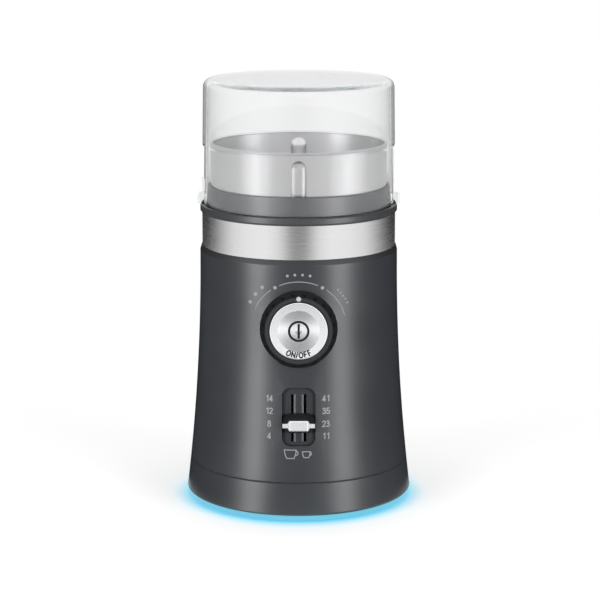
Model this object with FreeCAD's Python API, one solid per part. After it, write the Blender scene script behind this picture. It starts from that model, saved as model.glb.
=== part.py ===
import FreeCAD, Part
import math
import os

V = FreeCAD.Vector

# Cup-type coffee grinder. Millimetres, +Z up, the front controls face -Y,
# the origin lies on the machine's axis at table height.

# Fits
FIT_GAP = 0.15          # between fixed pieces that fit round each other
RUN_GAP = 0.05          # radial clearance of a shaft or guide
MOVE_GAP = 0.4          # air between pieces that move past each other

# Shell and skirt
BASE_R = 62.7           # flared foot of the skirt
WALL = 2.5
FOOT_H = 4.0            # skirt edge above the table
SKIRT_H = 17.8
SHELL_H = 120.4
RIM_BEVEL_W = 0.8
RIM_BEVEL_H = 2.7
SEAM_CHAMFER = 0.5
SKIRT_EDGE_R = 1.2
LAP_H = 4.0             # lip of the skirt inside the shell
LAP_T = 1.6
LAP_ROOT = 4.0

# Floor plate, light ring and feet
PLATE_T = 2.5
LEDGE_T = 2.5
LEDGE_W = 3.0
LIGHT_RING_H = 2.8
LIGHT_RING_INSET = 1.3
LIGHT_COUNT = 8
LIGHT_PEG_R = 1.8
LED_R = 1.5
LED_H = 1.2
LED_BOARD_T = 1.5
LED_BOARD_W = 5.0
LED_INSET = 2.6         # from the ledge to the ring of lamps
FOOT_R = 6.0
FOOT_GAP = 1.35         # between the light ring and a foot
FOOT_CHAMFER = 0.6
POST_R = 4.0
POST_RING_R = 45.0
POST_RISE = 24.0        # posts above the seam
POST_RIB_T = 2.4
VENT_COUNT = 6
VENT_W = 3.0
VENT_IN_R = 14.0
VENT_OUT_R = 34.0

# Screws
SCREW_R = 1.5
SCREW_HEAD_R = 2.8
SCREW_HEAD_H = 1.8
SCREW_TIP_GAP = 0.5     # hole beyond the screw's tip
BASE_SCREW_GRIP = 10.0
COLLAR_SCREW_GRIP = 8.0
BOARD_SCREW_GRIP = 3.3
MOTOR_SCREW_GRIP = 7.0

# Cord inlet and terminals
GLAND_R = 5.0
GLAND_BORE_R = 3.2
GLAND_HEAD_R = 6.4
GLAND_HEAD_T = 1.4
GLAND_LENGTH = 9.0
GLAND_DROP = 6.4        # below the seam
GLAND_NUT_R = 6.8
GLAND_NUT_T = 2.0
GLAND_WEB = 3.0         # flat skirt wall held between head and nut
TERMINAL_W = 16.0
TERMINAL_D = 9.0
TERMINAL_H = 8.5
TERMINAL_GAP = 7.7      # in front of the cord inlet

# Bowl
BOWL_R = 48.4
BOWL_T = 0.8
BOWL_SHOW = 23.4        # bowl above the neck
BOWL_ROUND_R = 26.0
BOWL_BEAD_R = 0.7
BOWL_BASE_H = 7.0
BOWL_BASE_T = 3.0
BOWL_BASE_INSET = 1.2
GROOVE_W = 8.6
GROOVE_DEPTH = 2.2
GROOVE_DROP = 3.2       # from the rim to the groove's top
GROOVE_ANGLES = (90, 270)
KEY_R = 2.5
KEY_RING_R = 30.0
KEY_H = 2.6
KEY_COUNT = 3

# Collar, band and well
BAND_H = 18.4
BAND_T = 0.5
BAND_STEP = 0.4         # band inside the bevelled rim
WELL_RING_W = 3.85      # collar between the well and the band's seat
FLANGE_OUT = 1.0        # flange beyond the band
FLANGE_H = 4.3
FLANGE_BEVEL = 1.0
FLANGE_EDGE_R = 0.6
NECK_WALL = 1.3
NECK_H = 10.4
WELL_DEPTH = 44.3
WELL_KNEE_DROP = 4.0    # cone starts below the bowl's round
WELL_TAPER = 6.8        # well floor inside the mouth
WELL_FLOOR_T = 2.5
WELL_HOLE_R = 14.0
COLLAR_WALL = 1.6
SPIGOT_H = 6.0
SPIGOT_T = 1.2
COLLAR_POST_R = 3.4
COLLAR_POST_INSET = 2.0     # post axis inside the well's radius
COLLAR_POST_DROP = 12.2     # post foot below the rim
COLLAR_POST_H = 16.0
LUG_T = 3.5
LUG_W = 8.0

# Lid
LID_H = 68.5
LID_GAP = 0.75          # round the neck
LID_DRAFT = 0.5
LID_SKIRT_WALL = 1.4
LID_WALL = 2.4
LID_TOP_T = 2.6
LID_EDGE_R = 4.5
LID_INNER_EDGE_R = 3.0
LID_STEP_DROP = 1.0     # step below the bowl's rim
LID_GATE_R = 1.2
LID_GATE_T = 0.3
LID_LUG_T = 3.25        # beyond the lid's skirt
LID_LUG_H = 5.2
LID_LUG_W = 11.0
LID_RIB_W = 7.0
LID_SHORT_RIB_T = 1.25
LID_SHORT_RIB_H = 8.4

# Lid interlock
PLUNGER_R = 1.2
PLUNGER_L = 21.0
PLUNGER_TRAVEL = 1.0
INTERLOCK_H = 8.3
INTERLOCK_W = 8.0
INTERLOCK_D = 3.7
INTERLOCK_LEDGE_T = 2.5

# Blade and spindle
SPINDLE_R = 3.0
SPINDLE_SHOULDER_R = 4.5
BUSH_R = 7.0
BUSH_FLANGE_R = 9.5
BUSH_FLANGE_T = 1.5
BUSH_DROP = 2.0         # bush below the bowl base
SEAL_R = 6.0
SEAL_T = 1.7
SHOULDER_H = 2.6
BLADE_REACH = 36.0
BLADE_FLAT = 24.0
BLADE_RISE = 5.0
BLADE_W = 12.0
BLADE_T = 1.6
BLADE_TIP_W = 8.0
NUT_R = 5.5
NUT_H = 4.4
SPINDLE_TOP = 1.5       # spindle above the blade, inside the nut

# Couplers between motor and bowl
COUPLER_R = 11.0
COUPLER_DROP = 8.0      # middle of the dogs below the well floor
COUPLER_DISC_T = 4.0
DOG_H = 4.0
DOG_COUNT = 3
DOG_ANGLE = 52.0
DOG_IN_R = 5.0
DOG_AIR = 0.5

# Motor
MOUNT_X = 14.0
MOUNT_Y = 22.0
MOUNT_BOSS_R = 4.0
MOUNT_BOSS_H = 12.0
MOUNT_R = 4.5
MOUNT_T = 3.0
BRACKET_T = 2.5
LOWER_BRACKET_T = 4.0
LEG_R = 3.4
UPPER_LEG_H = 20.0
LOWER_LEG_H = 22.0
STACK_H = 30.0
STACK_X = 62.0
STACK_Y = 50.0
BOLT_X = 27.5
BOLT_Y = 21.5
BOLT_R = 1.8
BOLT_HEAD_R = 3.2
BOLT_HEAD_H = 2.0
BORE_R = 18.0
POLE_HALF_W = 12.5
COIL_SLOT_W = 6.0
COIL_SLOT_X = 25.0
COIL_T = 5.5
COIL_W = 5.4
AIR_GAP = 0.6
SHAFT_R = 4.0
SHAFT_TAIL = 1.0        # shaft below the lower bracket
WINDING_R = 15.0
WINDING_H = 5.5
COMMUTATOR_R = 10.5
COMMUTATOR_H = 10.0
COMMUTATOR_LIFT = 4.0   # above the lower bracket plate
BEARING_R = 9.5
BEARING_H = 5.5
BEARING_WALL = 2.5
BEARING_LIP = 1.0       # bracket left behind each bearing
FAN_R = 26.0
FAN_H = 8.0
FAN_DISC_T = 1.2
FAN_HUB_R = 7.0
FAN_VANE_T = 1.2
FAN_VANES = 9
FAN_LIFT = 7.0          # above the lamination pack
BRUSH_Y = 5.0
BRUSH_Z = 7.0
BRUSH_L = 11.0
BRUSH_GAP = 0.3
HOLDER_WALL = 0.9
HOLDER_L = 17.5
HOLDER_CAP_T = 1.0
HOLDER_START = 2.0      # from the commutator
BRUSH_BLOCK_WALL = 2.2
BRUSH_BLOCK_L = 14.0

# Dial, button and board
DIAL_DROP = 36.5        # dial axis below the rim
DIAL_R = 20.7
DIAL_FLANGE_T = 1.6
DIAL_FRONT_R = 18.9     # cone behind the front round
DIAL_ROUND = 1.2
DIAL_T = 6.2
DIAL_EDGE = 0.5
DIAL_SEAT_SINK = 0.4
DIAL_SEAT_LIP = 0.5     # seat hidden behind the dial
DIAL_POCKET_R = 21.4
DIAL_PAD_T = 4.0
HUB_R = 14.8
HUB_T = 1.6
NOTCH_COUNT = 20
NOTCH_R = 1.1
NOTCH_OUT = 0.45        # notch axis outside the cone's front
NOTCH_L = 2.4
POINTER_R = 1.25
POINTER_RING_R = 17.25
POINTER_DEPTH = 1.2
POINTER_PROUD = 0.15
WIPER_T = 1.6
WIPER_IN_R = 11.5
WIPER_OUT_R = 17.5
WIPER_FINGER_R = 1.0
WIPER_FINGER_RING_R = 14.0
SELECTOR_T = 1.0
SELECTOR_IN_R = 11.0
SELECTOR_OUT_R = 17.0
BUTTON_R = 15.4
BUTTON_PROUD = 0.9      # in front of the dial
BUTTON_CAP_T = 1.8
BUTTON_EDGE = 0.5
BUTTON_DISH_R = 11.2
BUTTON_DISH_DEPTH = 0.5
BUTTON_HEAD_R = 14.6
BUTTON_HEAD_T = 1.5
BUTTON_TRAVEL = 1.6
STEM_R = 5.0
STEM_TIP_R = 1.5
STEM_TIP_L = 1.9
GUIDE_WALL = 1.95
GUIDE_L = 8.4
GUIDE_FLANGE_R = 10.4
GUIDE_FLANGE_T = 1.4
GUIDE_FLANGE_LIFT = 2.4
SPRING_R = 8.8
SPRING_WIRE_R = 0.4
SPRING_TURNS = 5
SPRING_QUARTERS = 4     # steps of a spring's turn
SWITCH_W = 6.2
SWITCH_T = 3.4
SWITCH_WELL = 2.4
BOARD_GAP = 0.75        # behind the slide sensor
BOARD_T = 1.6
BOARD_HALF_W = 24.0
BOARD_ABOVE_DIAL = 22.0
BOARD_BELOW_WINDOW = 4.0
BOARD_POST_R = 3.0
BOARD_POST_INSET = 4.0

# Slider in the front wall
SLIDER_DROP = 84.5      # window centre below the rim
WINDOW_W = 17.9
WINDOW_H = 31.6
WINDOW_CORNER = 4.5
TRACK_DEPTH = 2.2
TRACK_FLANGE = 2.5
TRACK_FLANGE_T = 1.4
PAD_MARGIN = 3.5
PAD_FRONT = 1.7
PAD_BACK = 4.6
SLOT_X = 3.4
SLOT_W = 1.4
SLOT_END = 0.7          # slot beyond the legs' travel
TONGUE_BEVEL_W = 1.1    # bevels of the tongue between the slots
TONGUE_BEVEL_H = 0.5
SETTING_PITCH = 6.8
SETTINGS = 4
SLIDER_LOW = -11.0      # lowest setting from the window's centre
SLIDER_REST_STEP = 1
CARRIAGE_ABOVE = 6.0    # carriage above and below the handle's middle
CARRIAGE_BELOW = 4.1
CARRIAGE_SIDE_GAP = 0.5
CARRIAGE_FRONT = 2.2    # in front of the wall
CARRIAGE_CORNER = 4.0
CARRIAGE_CHAMFER = 1.2
LEG_SIDE_GAP = 0.3
LEG_H = 4.0
BRIDGE_W = 10.0
BRIDGE_H = 6.0
BRIDGE_T = 1.6
LEVER_R = 1.0
LEVER_L = 2.2
HANDLE_HALF_W = 8.65
HANDLE_ARM_H = 2.3
HANDLE_ARM_T = 1.0
HANDLE_BLOCK_HALF_W = 5.9
HANDLE_BLOCK_H = 5.6
HANDLE_BLOCK_T = 2.0
HANDLE_SLOPE = 1.0
HANDLE_CHAMFER = 0.4
POT_GAP = 0.8           # behind the bridge
POT_W = 9.0
POT_T = 3.0
POT_SLOT_W = 3.0
POT_SLOT_DEPTH = 1.8
POT_END = 3.0
POT_END_GAP = 1.2

# Heights worked out from the sizes above
SKIRT_Z = FOOT_H
SEAM_Z = SKIRT_Z + SKIRT_H
RIM_Z = SEAM_Z + SHELL_H
FLARE_TOP_Z = RIM_Z - RIM_BEVEL_H
PLATE_TOP_Z = SKIRT_Z + PLATE_T
LEDGE_TOP_Z = PLATE_TOP_Z + LEDGE_T
BAND_TOP_Z = RIM_Z + BAND_H
FLANGE_TOP_Z = BAND_TOP_Z + FLANGE_H
NECK_TOP_Z = FLANGE_TOP_Z + NECK_H
WELL_FLOOR_Z = NECK_TOP_Z - WELL_DEPTH
COLLAR_UNDER_Z = WELL_FLOOR_Z - WELL_FLOOR_T
BOWL_BOTTOM_Z = WELL_FLOOR_Z + BOWL_BASE_H
BOWL_RIM_Z = NECK_TOP_Z + BOWL_SHOW
BOWL_ROUND_Z = BOWL_BOTTOM_Z + BOWL_ROUND_R
WELL_KNEE_Z = BOWL_ROUND_Z - WELL_KNEE_DROP
COLLAR_POST_Z = RIM_Z - COLLAR_POST_DROP
LID_TOP_Z = FLANGE_TOP_Z + LID_H
LID_STEP_Z = BOWL_RIM_Z - LID_STEP_DROP

# Radii worked out from the sizes above
WELL_R = BOWL_R + MOVE_GAP
WELL_FLOOR_R = WELL_R - WELL_TAPER
NECK_R = WELL_R + NECK_WALL
BAND_SEAT_R = WELL_R + WELL_RING_W
BAND_R = BAND_SEAT_R + RUN_GAP + BAND_T
RIM_R = BAND_R + BAND_STEP + RIM_BEVEL_W
FLANGE_R = BAND_R + FLANGE_OUT
COLLAR_POST_RING_R = WELL_R - COLLAR_POST_INSET
LID_IN_FOOT_R = NECK_R + LID_GAP
LID_IN_STEP_R = LID_IN_FOOT_R - LID_DRAFT
LID_IN_TOP_R = LID_IN_STEP_R - LID_DRAFT
LID_SKIRT_R = LID_IN_FOOT_R + LID_SKIRT_WALL
PLUNGER_X = (WELL_R + BAND_SEAT_R) / 2

# Flare of the shell: one long arc, upright at the rim
FLARE_IN = BASE_R - RIM_R
FLARE_DROP = FLARE_TOP_Z - SKIRT_Z
FLARE_ARC_R = (FLARE_DROP ** 2 + FLARE_IN ** 2) / (2 * FLARE_IN)


def outer_r(z):
    """Outside radius of shell and skirt at a height."""
    drop = max(0.0, FLARE_TOP_Z - z)
    return RIM_R + FLARE_ARC_R - math.sqrt(FLARE_ARC_R ** 2 - drop ** 2)


def inner_r(z):
    """Inside radius of shell and skirt at a height."""
    return outer_r(z) - WALL


PLATE_SEAT_R = inner_r(PLATE_TOP_Z)
LEDGE_R = PLATE_SEAT_R - LEDGE_W
LED_RING_R = LEDGE_R - LED_INSET
LED_BOARD_R = LEDGE_R - MOVE_GAP
LIGHT_RING_IN_R = LED_RING_R - LIGHT_PEG_R - FIT_GAP
FOOT_RING_R = LIGHT_RING_IN_R - FOOT_GAP - FOOT_R
GLAND_Z = SEAM_Z - GLAND_DROP
GLAND_SEAT_Y = math.sqrt(outer_r(GLAND_Z + GLAND_HEAD_R) ** 2 - GLAND_HEAD_R ** 2)
GLAND_NUT_Y = GLAND_SEAT_Y - GLAND_WEB
GLAND_END_Y = GLAND_SEAT_Y + GLAND_HEAD_T
GLAND_START_Y = GLAND_END_Y - GLAND_LENGTH
TERMINAL_Y = GLAND_START_Y - TERMINAL_GAP - TERMINAL_D / 2

# Motor stack, hung from the collar
MOUNT_TOP_Z = COLLAR_UNDER_Z - MOUNT_BOSS_H
BRACKET_TOP_Z = MOUNT_TOP_Z - MOUNT_T
BRACKET_Z = BRACKET_TOP_Z - BRACKET_T
STACK_TOP_Z = BRACKET_Z - UPPER_LEG_H
STACK_Z = STACK_TOP_Z - STACK_H
LOWER_TOP_Z = STACK_Z - LOWER_LEG_H
LOWER_Z = LOWER_TOP_Z - LOWER_BRACKET_T
COMMUTATOR_Z = LOWER_TOP_Z + COMMUTATOR_LIFT
BRUSH_MID_Z = COMMUTATOR_Z + COMMUTATOR_H / 2
FAN_Z = STACK_TOP_Z + FAN_LIFT
UPPER_BEARING_Z = BRACKET_TOP_Z - BEARING_LIP - BEARING_H
LOWER_BEARING_Z = LOWER_Z + BEARING_LIP
COUPLER_MID_Z = COLLAR_UNDER_Z - COUPLER_DROP
DRIVE_TOP_Z = COUPLER_MID_Z - (DOG_H + DOG_AIR) / 2
DRIVEN_Z = COUPLER_MID_Z + (DOG_H + DOG_AIR) / 2

# Spindle stack in the bowl
BUSH_Z = WELL_FLOOR_Z - BUSH_DROP
BUSH_SEAT_Z = BOWL_BOTTOM_Z + BOWL_T
BUSH_TOP_Z = BUSH_SEAT_Z + BUSH_FLANGE_T
SEAL_TOP_Z = BUSH_TOP_Z + SEAL_T
SHOULDER_Z = SEAL_TOP_Z + MOVE_GAP
BLADE_Z = SHOULDER_Z + SHOULDER_H

# Front stack, as distances in front of the machine's axis
DIAL_Z = RIM_Z - DIAL_DROP
SEAT_D = outer_r(DIAL_Z) - DIAL_SEAT_SINK
PAD_D = SEAT_D - DIAL_PAD_T
DIAL_BACK_D = SEAT_D + MOVE_GAP
DIAL_FRONT_D = DIAL_BACK_D + DIAL_T
HUB_END_D = PAD_D - MOVE_GAP
WIPER_D = HUB_END_D - WIPER_T
BUTTON_FRONT_D = DIAL_FRONT_D + BUTTON_PROUD
CAP_BACK_D = BUTTON_FRONT_D - BUTTON_CAP_T
HEAD_BACK_D = CAP_BACK_D - BUTTON_HEAD_T
WEB_D = HEAD_BACK_D - BUTTON_TRAVEL - MOVE_GAP

# Slider, in a frame that leans with the wall
SLIDER_Z = RIM_Z - SLIDER_DROP
SLIDER_WALL_R = outer_r(SLIDER_Z)
WALL_TILT = math.degrees(math.asin((FLARE_TOP_Z - SLIDER_Z) / FLARE_ARC_R))
SLIDER_REST = SLIDER_LOW + SLIDER_REST_STEP * SETTING_PITCH
SLIDER_HIGH = SLIDER_LOW + (SETTINGS - 1) * SETTING_PITCH
TRACK_BACK = PAD_BACK + TRACK_FLANGE_T
BRIDGE_FRONT = TRACK_BACK + MOVE_GAP
BRIDGE_BACK = BRIDGE_FRONT + BRIDGE_T
POT_FRONT = BRIDGE_BACK + POT_GAP
POT_BACK = POT_FRONT + POT_T
POT_INNER_LOW = SLIDER_LOW - BRIDGE_H / 2 - POT_END_GAP
POT_INNER_HIGH = SLIDER_HIGH + BRIDGE_H / 2 + POT_END_GAP
POT_LOW = POT_INNER_LOW - POT_END
POT_HIGH = POT_INNER_HIGH + POT_END

# Board, upright behind the leaning slide sensor, and what stands on it
WALL_LEAN = math.radians(WALL_TILT)
POT_REAR_D = SLIDER_WALL_R - POT_HIGH * math.sin(WALL_LEAN) - POT_BACK * math.cos(WALL_LEAN)
BOARD_D = POT_REAR_D - BOARD_GAP
BOARD_TOP_Z = DIAL_Z + BOARD_ABOVE_DIAL
BOARD_Z = SLIDER_Z - WINDOW_H / 2 - BOARD_BELOW_WINDOW
STEM_END_D = BOARD_D + SWITCH_T + FIT_GAP + STEM_TIP_L
GUIDE_FLANGE_D = BOARD_D + GUIDE_FLANGE_LIFT
SPRING_SEAT_D = GUIDE_FLANGE_D + GUIDE_FLANGE_T

# Patterns
CORNERS = ((1, 1), (-1, 1), (-1, -1), (1, -1))
DIAGONAL_ANGLES = (45, 135, 225, 315)
SQUARE_ANGLES = (0, 90, 180, 270)


# Shape helpers

def flat(point):
    """Profile point (radius, height) in the XZ plane."""
    return V(point[0], 0, point[1])


def profile(steps):
    """Closed face in the XZ plane. A step is a point, or a (middle, end) pair for an arc."""
    edges = []
    at = steps[0]
    for step in steps[1:] + [steps[0]]:
        if isinstance(step[0], tuple):
            middle, end = step
            edges.append(Part.Arc(flat(at), flat(middle), flat(end)).toShape())
        else:
            end = step
            edges.append(Part.LineSegment(flat(at), flat(end)).toShape())
        at = end
    return Part.Face(Part.Wire(edges))


def turned(steps):
    """Solid turned about the Z axis."""
    return profile(steps).revolve(V(0, 0, 0), V(0, 0, 1), 360)


def corner_arc(centre, radius, angle):
    """Point on a circle in the profile plane, for the middle of a round."""
    turn = math.radians(angle)
    return (centre[0] + radius * math.cos(turn), centre[1] + radius * math.sin(turn))


def rod(radius, low, high, x=0.0, y=0.0):
    """Upright round bar."""
    return Part.makeCylinder(radius, high - low, V(x, y, low))


def tube(outer, inner, low, high, x=0.0, y=0.0):
    """Upright tube."""
    return rod(outer, low, high, x, y).cut(rod(inner, low - 1, high + 1, x, y))


def block(x0, x1, y0, y1, z0, z1):
    """Box between two corners."""
    return Part.makeBox(x1 - x0, y1 - y0, z1 - z0, V(x0, y0, z0))


def rounded_block(width, height, corner, low, high):
    """Box about the Z axis with rounded upright edges."""
    box = block(-width / 2, width / 2, -height / 2, height / 2, low, high)
    upright = [e for e in box.Edges if abs(e.tangentAt(e.FirstParameter).z) > 0.9]
    return box.makeFillet(corner, upright)


def prism(points, low, high):
    """Upright prism over a polygon of (x, y) points."""
    corners = [V(x, y, low) for x, y in points]
    face = Part.Face(Part.makePolygon(corners + [corners[0]]))
    return face.extrude(V(0, 0, high - low))


def turn_z(shape, angle):
    """Copy turned about the machine's axis."""
    copy = shape.copy()
    copy.rotate(V(0, 0, 0), V(0, 0, 1), angle)
    return copy


def around(shape, angles):
    """Copies of a shape at several angles about the machine's axis."""
    return [turn_z(shape, angle) for angle in angles]


def steps_round(count, start=0.0):
    """Even angles round a circle."""
    return [start + 360.0 * i / count for i in range(count)]


def facing(shape):
    """Front piece: its own Z becomes the distance in front, its own Y becomes up."""
    placed = shape.copy()
    placed.rotate(V(0, 0, 0), V(1, 0, 0), 90)
    placed.translate(V(0, 0, DIAL_Z))
    return placed


def on_wall(shape):
    """Slider piece: its own Z points out of the leaning wall, its own Y runs up along it."""
    placed = shape.copy()
    placed.rotate(V(0, 0, 0), V(1, 0, 0), 90 - WALL_TILT)
    placed.translate(V(0, -SLIDER_WALL_R, SLIDER_Z))
    return placed


def screw(head_low, grip_end, x, y):
    """Pan-head screw with its head below."""
    seat = head_low + SCREW_HEAD_H
    head = rod(SCREW_HEAD_R, head_low, seat, x, y)
    return head.fuse(rod(SCREW_R, seat, grip_end, x, y))


def group(shapes):
    """Separate solids in one node."""
    return Part.makeCompound(shapes)


# Shell and base

def flare_steps(low, high):
    """Arc of the shell's outside between two heights."""
    middle = (low + high) / 2
    return ((outer_r(middle), middle), (outer_r(high), high))


def inner_steps(high, low):
    """Arc of the shell's inside, downwards."""
    middle = (low + high) / 2
    return ((inner_r(middle), middle), (inner_r(low), low))


def board_post_places():
    """Board screw places as (x, z)."""
    x = BOARD_HALF_W - BOARD_POST_INSET
    low = BOARD_Z + BOARD_POST_INSET
    high = BOARD_TOP_Z - BOARD_POST_INSET
    return [(-x, low), (x, low), (-x, high), (x, high)]


def front_rod(radius, near, far, x, z):
    """Round bar along the front direction, between two distances from the axis."""
    return Part.makeCylinder(radius, far - near, V(x, -near, z), V(0, -1, 0))


def shell_posts():
    """Screw posts on the shell with a rib to the wall."""
    rib_low = SEAM_Z + LAP_H + MOVE_GAP
    top = SEAM_Z + POST_RISE
    post = rod(POST_R, PLATE_TOP_Z, top, POST_RING_R, 0)
    reach = inner_r(top) + WALL / 2
    rib = block(POST_RING_R, reach, -POST_RIB_T / 2, POST_RIB_T / 2, rib_low, top)
    hole_top = PLATE_TOP_Z + BASE_SCREW_GRIP + SCREW_TIP_GAP
    hole = rod(SCREW_R + RUN_GAP, PLATE_TOP_Z - 1, hole_top, POST_RING_R, 0)
    return around(post.fuse(rib).cut(hole), DIAGONAL_ANGLES)


def shell_lugs():
    """Lugs that carry the collar's screws."""
    top = COLLAR_POST_Z
    reach = inner_r(top) + WALL / 2
    start = COLLAR_POST_RING_R - SCREW_HEAD_R
    lug = block(start, reach, -LUG_W / 2, LUG_W / 2, top - LUG_T, top)
    hole = rod(SCREW_R + FIT_GAP, top - LUG_T - 1, top + 1, COLLAR_POST_RING_R, 0)
    return around(lug.cut(hole), DIAGONAL_ANGLES)


def main_housing():
    rim_r = RIM_R - RIM_BEVEL_W
    shell = turned([
        (outer_r(SEAM_Z) - SEAM_CHAMFER, SEAM_Z),
        (outer_r(SEAM_Z + SEAM_CHAMFER), SEAM_Z + SEAM_CHAMFER),
        flare_steps(SEAM_Z + SEAM_CHAMFER, FLARE_TOP_Z),
        (rim_r, RIM_Z),
        (inner_r(FLARE_TOP_Z), RIM_Z),
        (inner_r(FLARE_TOP_Z), FLARE_TOP_Z),
        inner_steps(FLARE_TOP_Z, SEAM_Z),
    ])
    dial_pad = facing(rod(DIAL_R - DIAL_SEAT_LIP, PAD_D, SEAT_D))
    pad_w = WINDOW_W + 2 * PAD_MARGIN
    pad_h = WINDOW_H + 2 * PAD_MARGIN
    pad = block(-pad_w / 2, pad_w / 2, -pad_h / 2, pad_h / 2, -PAD_BACK, -PAD_FRONT)
    slider_pad = on_wall(pad)
    posts = []
    cuts = [
        facing(rod(DIAL_POCKET_R, SEAT_D, SEAT_D + 2 * DIAL_T)),
        facing(rod(HUB_R + RUN_GAP, PAD_D - 1, SEAT_D + 1)),
        facing(rod(WIPER_OUT_R + MOVE_GAP, BOARD_D, PAD_D)),
        on_wall(rounded_block(WINDOW_W, WINDOW_H, WINDOW_CORNER, -PAD_BACK - 1, 2 * PAD_BACK)),
    ]
    for x, z in board_post_places():
        wall_d = math.sqrt(inner_r(z) ** 2 - x ** 2) + WALL / 2
        posts.append(front_rod(BOARD_POST_R, BOARD_D, wall_d, x, z))
        hole_end = BOARD_D + BOARD_SCREW_GRIP + SCREW_TIP_GAP
        cuts.append(front_rod(SCREW_R + RUN_GAP, BOARD_D - 1, hole_end, x, z))
    shell = shell.fuse([dial_pad, slider_pad] + posts + shell_posts() + shell_lugs())
    return shell.cut(cuts).removeSplitter()


def lamp_angles():
    """Lamp places, half a step off the feet and screw posts."""
    return steps_round(LIGHT_COUNT, 180.0 / LIGHT_COUNT)


def rear_rod(radius, near, far):
    """Round bar along the cord inlet's axis at the back."""
    return Part.makeCylinder(radius, far - near, V(0, near, GLAND_Z), V(0, 1, 0))


def base_ring():
    lip_r = inner_r(SEAM_Z) - FIT_GAP
    lip_top_r = inner_r(SEAM_Z + LAP_H) - FIT_GAP
    lip_in = lip_top_r - LAP_T
    root_z = SEAM_Z - LAP_ROOT
    edge = (outer_r(SKIRT_Z) - SKIRT_EDGE_R, SKIRT_Z + SKIRT_EDGE_R)
    ring = turned([
        (PLATE_SEAT_R, SKIRT_Z),
        (edge[0], SKIRT_Z),
        (corner_arc(edge, SKIRT_EDGE_R, -45), (outer_r(SKIRT_Z + SKIRT_EDGE_R), edge[1])),
        flare_steps(edge[1], SEAM_Z - SEAM_CHAMFER),
        (outer_r(SEAM_Z) - SEAM_CHAMFER, SEAM_Z),
        (lip_r, SEAM_Z),
        (lip_top_r, SEAM_Z + LAP_H),
        (lip_in, SEAM_Z + LAP_H),
        (lip_in, root_z),
        (inner_r(root_z - LAP_T), root_z - LAP_T),
        (inner_r(LEDGE_TOP_Z), LEDGE_TOP_Z),
        (LEDGE_R, LEDGE_TOP_Z),
        (LEDGE_R, PLATE_TOP_Z),
        (PLATE_SEAT_R, PLATE_TOP_Z),
    ])
    cuts = [
        rear_rod(GLAND_R + FIT_GAP, LEDGE_R / 2, BASE_R + 1),
        rear_rod(GLAND_HEAD_R + FIT_GAP, GLAND_SEAT_Y, BASE_R + 1),
        rear_rod(GLAND_NUT_R + MOVE_GAP, LEDGE_R / 2, GLAND_NUT_Y),
    ]
    return ring.cut(cuts)


def bottom_plate():
    plate = rod(PLATE_SEAT_R - FIT_GAP, SKIRT_Z, PLATE_TOP_Z)
    holes = around(rod(SCREW_R + FIT_GAP, SKIRT_Z - 1, PLATE_TOP_Z + 1, POST_RING_R, 0), DIAGONAL_ANGLES)
    peg = rod(LIGHT_PEG_R + FIT_GAP, SKIRT_Z - 1, PLATE_TOP_Z + 1, LED_RING_R, 0)
    holes += around(peg, lamp_angles())
    vent = block(VENT_IN_R, VENT_OUT_R, -VENT_W / 2, VENT_W / 2, SKIRT_Z - 1, PLATE_TOP_Z + 1)
    holes += around(vent, steps_round(VENT_COUNT))
    return plate.cut(holes)


def light_ring():
    low = SKIRT_Z - LIGHT_RING_H
    ring = tube(BASE_R - LIGHT_RING_INSET, LIGHT_RING_IN_R, low, SKIRT_Z)
    screw_room = rod(SCREW_HEAD_R + MOVE_GAP, low - 1, SKIRT_Z + 1, POST_RING_R, 0)
    ring = ring.cut(around(screw_room, DIAGONAL_ANGLES))
    peg_top = PLATE_TOP_Z - LED_H - FIT_GAP
    peg = rod(LIGHT_PEG_R, SKIRT_Z - LIGHT_RING_H / 2, peg_top, LED_RING_R, 0)
    return ring.fuse(around(peg, lamp_angles())).removeSplitter()


def led_board():
    top = PLATE_TOP_Z + LED_BOARD_T
    board = tube(LED_BOARD_R, LED_BOARD_R - LED_BOARD_W, PLATE_TOP_Z, top)
    post_room = rod(POST_R + MOVE_GAP, PLATE_TOP_Z - 1, top + 1, POST_RING_R, 0)
    return board.cut(around(post_room, DIAGONAL_ANGLES))


def leds():
    led = rod(LED_R, PLATE_TOP_Z - LED_H, PLATE_TOP_Z, LED_RING_R, 0)
    return group(around(led, lamp_angles()))


def rubber_feet():
    foot = turned([
        (0, 0),
        (FOOT_R - FOOT_CHAMFER, 0),
        (FOOT_R, FOOT_CHAMFER),
        (FOOT_R, FOOT_H),
        (0, FOOT_H),
    ])
    foot.translate(V(FOOT_RING_R, 0, 0))
    return group(around(foot, SQUARE_ANGLES))


def base_screws():
    end = PLATE_TOP_Z + BASE_SCREW_GRIP
    return group(around(screw(SKIRT_Z - SCREW_HEAD_H, end, POST_RING_R, 0), DIAGONAL_ANGLES))


def cord_gland():
    body = rear_rod(GLAND_R, GLAND_START_Y, GLAND_SEAT_Y)
    head = rear_rod(GLAND_HEAD_R, GLAND_SEAT_Y, GLAND_END_Y)
    nut = rear_rod(GLAND_NUT_R, GLAND_NUT_Y - GLAND_NUT_T, GLAND_NUT_Y)
    bore = rear_rod(GLAND_BORE_R, GLAND_START_Y - 1, GLAND_END_Y + 1)
    return body.fuse([head, nut]).cut(bore).removeSplitter()


def terminal_block():
    half_w = TERMINAL_W / 2
    y0 = TERMINAL_Y - TERMINAL_D / 2
    body = block(-half_w, half_w, y0, y0 + TERMINAL_D, PLATE_TOP_Z, PLATE_TOP_Z + TERMINAL_H)
    pitch = TERMINAL_W / 3
    top = PLATE_TOP_Z + TERMINAL_H
    wells = [rod(pitch / 3, top - TERMINAL_H / 2, top + 1, i * pitch, TERMINAL_Y) for i in (-1, 0, 1)]
    return body.cut(wells)


# Collar, band and interlock

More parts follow.
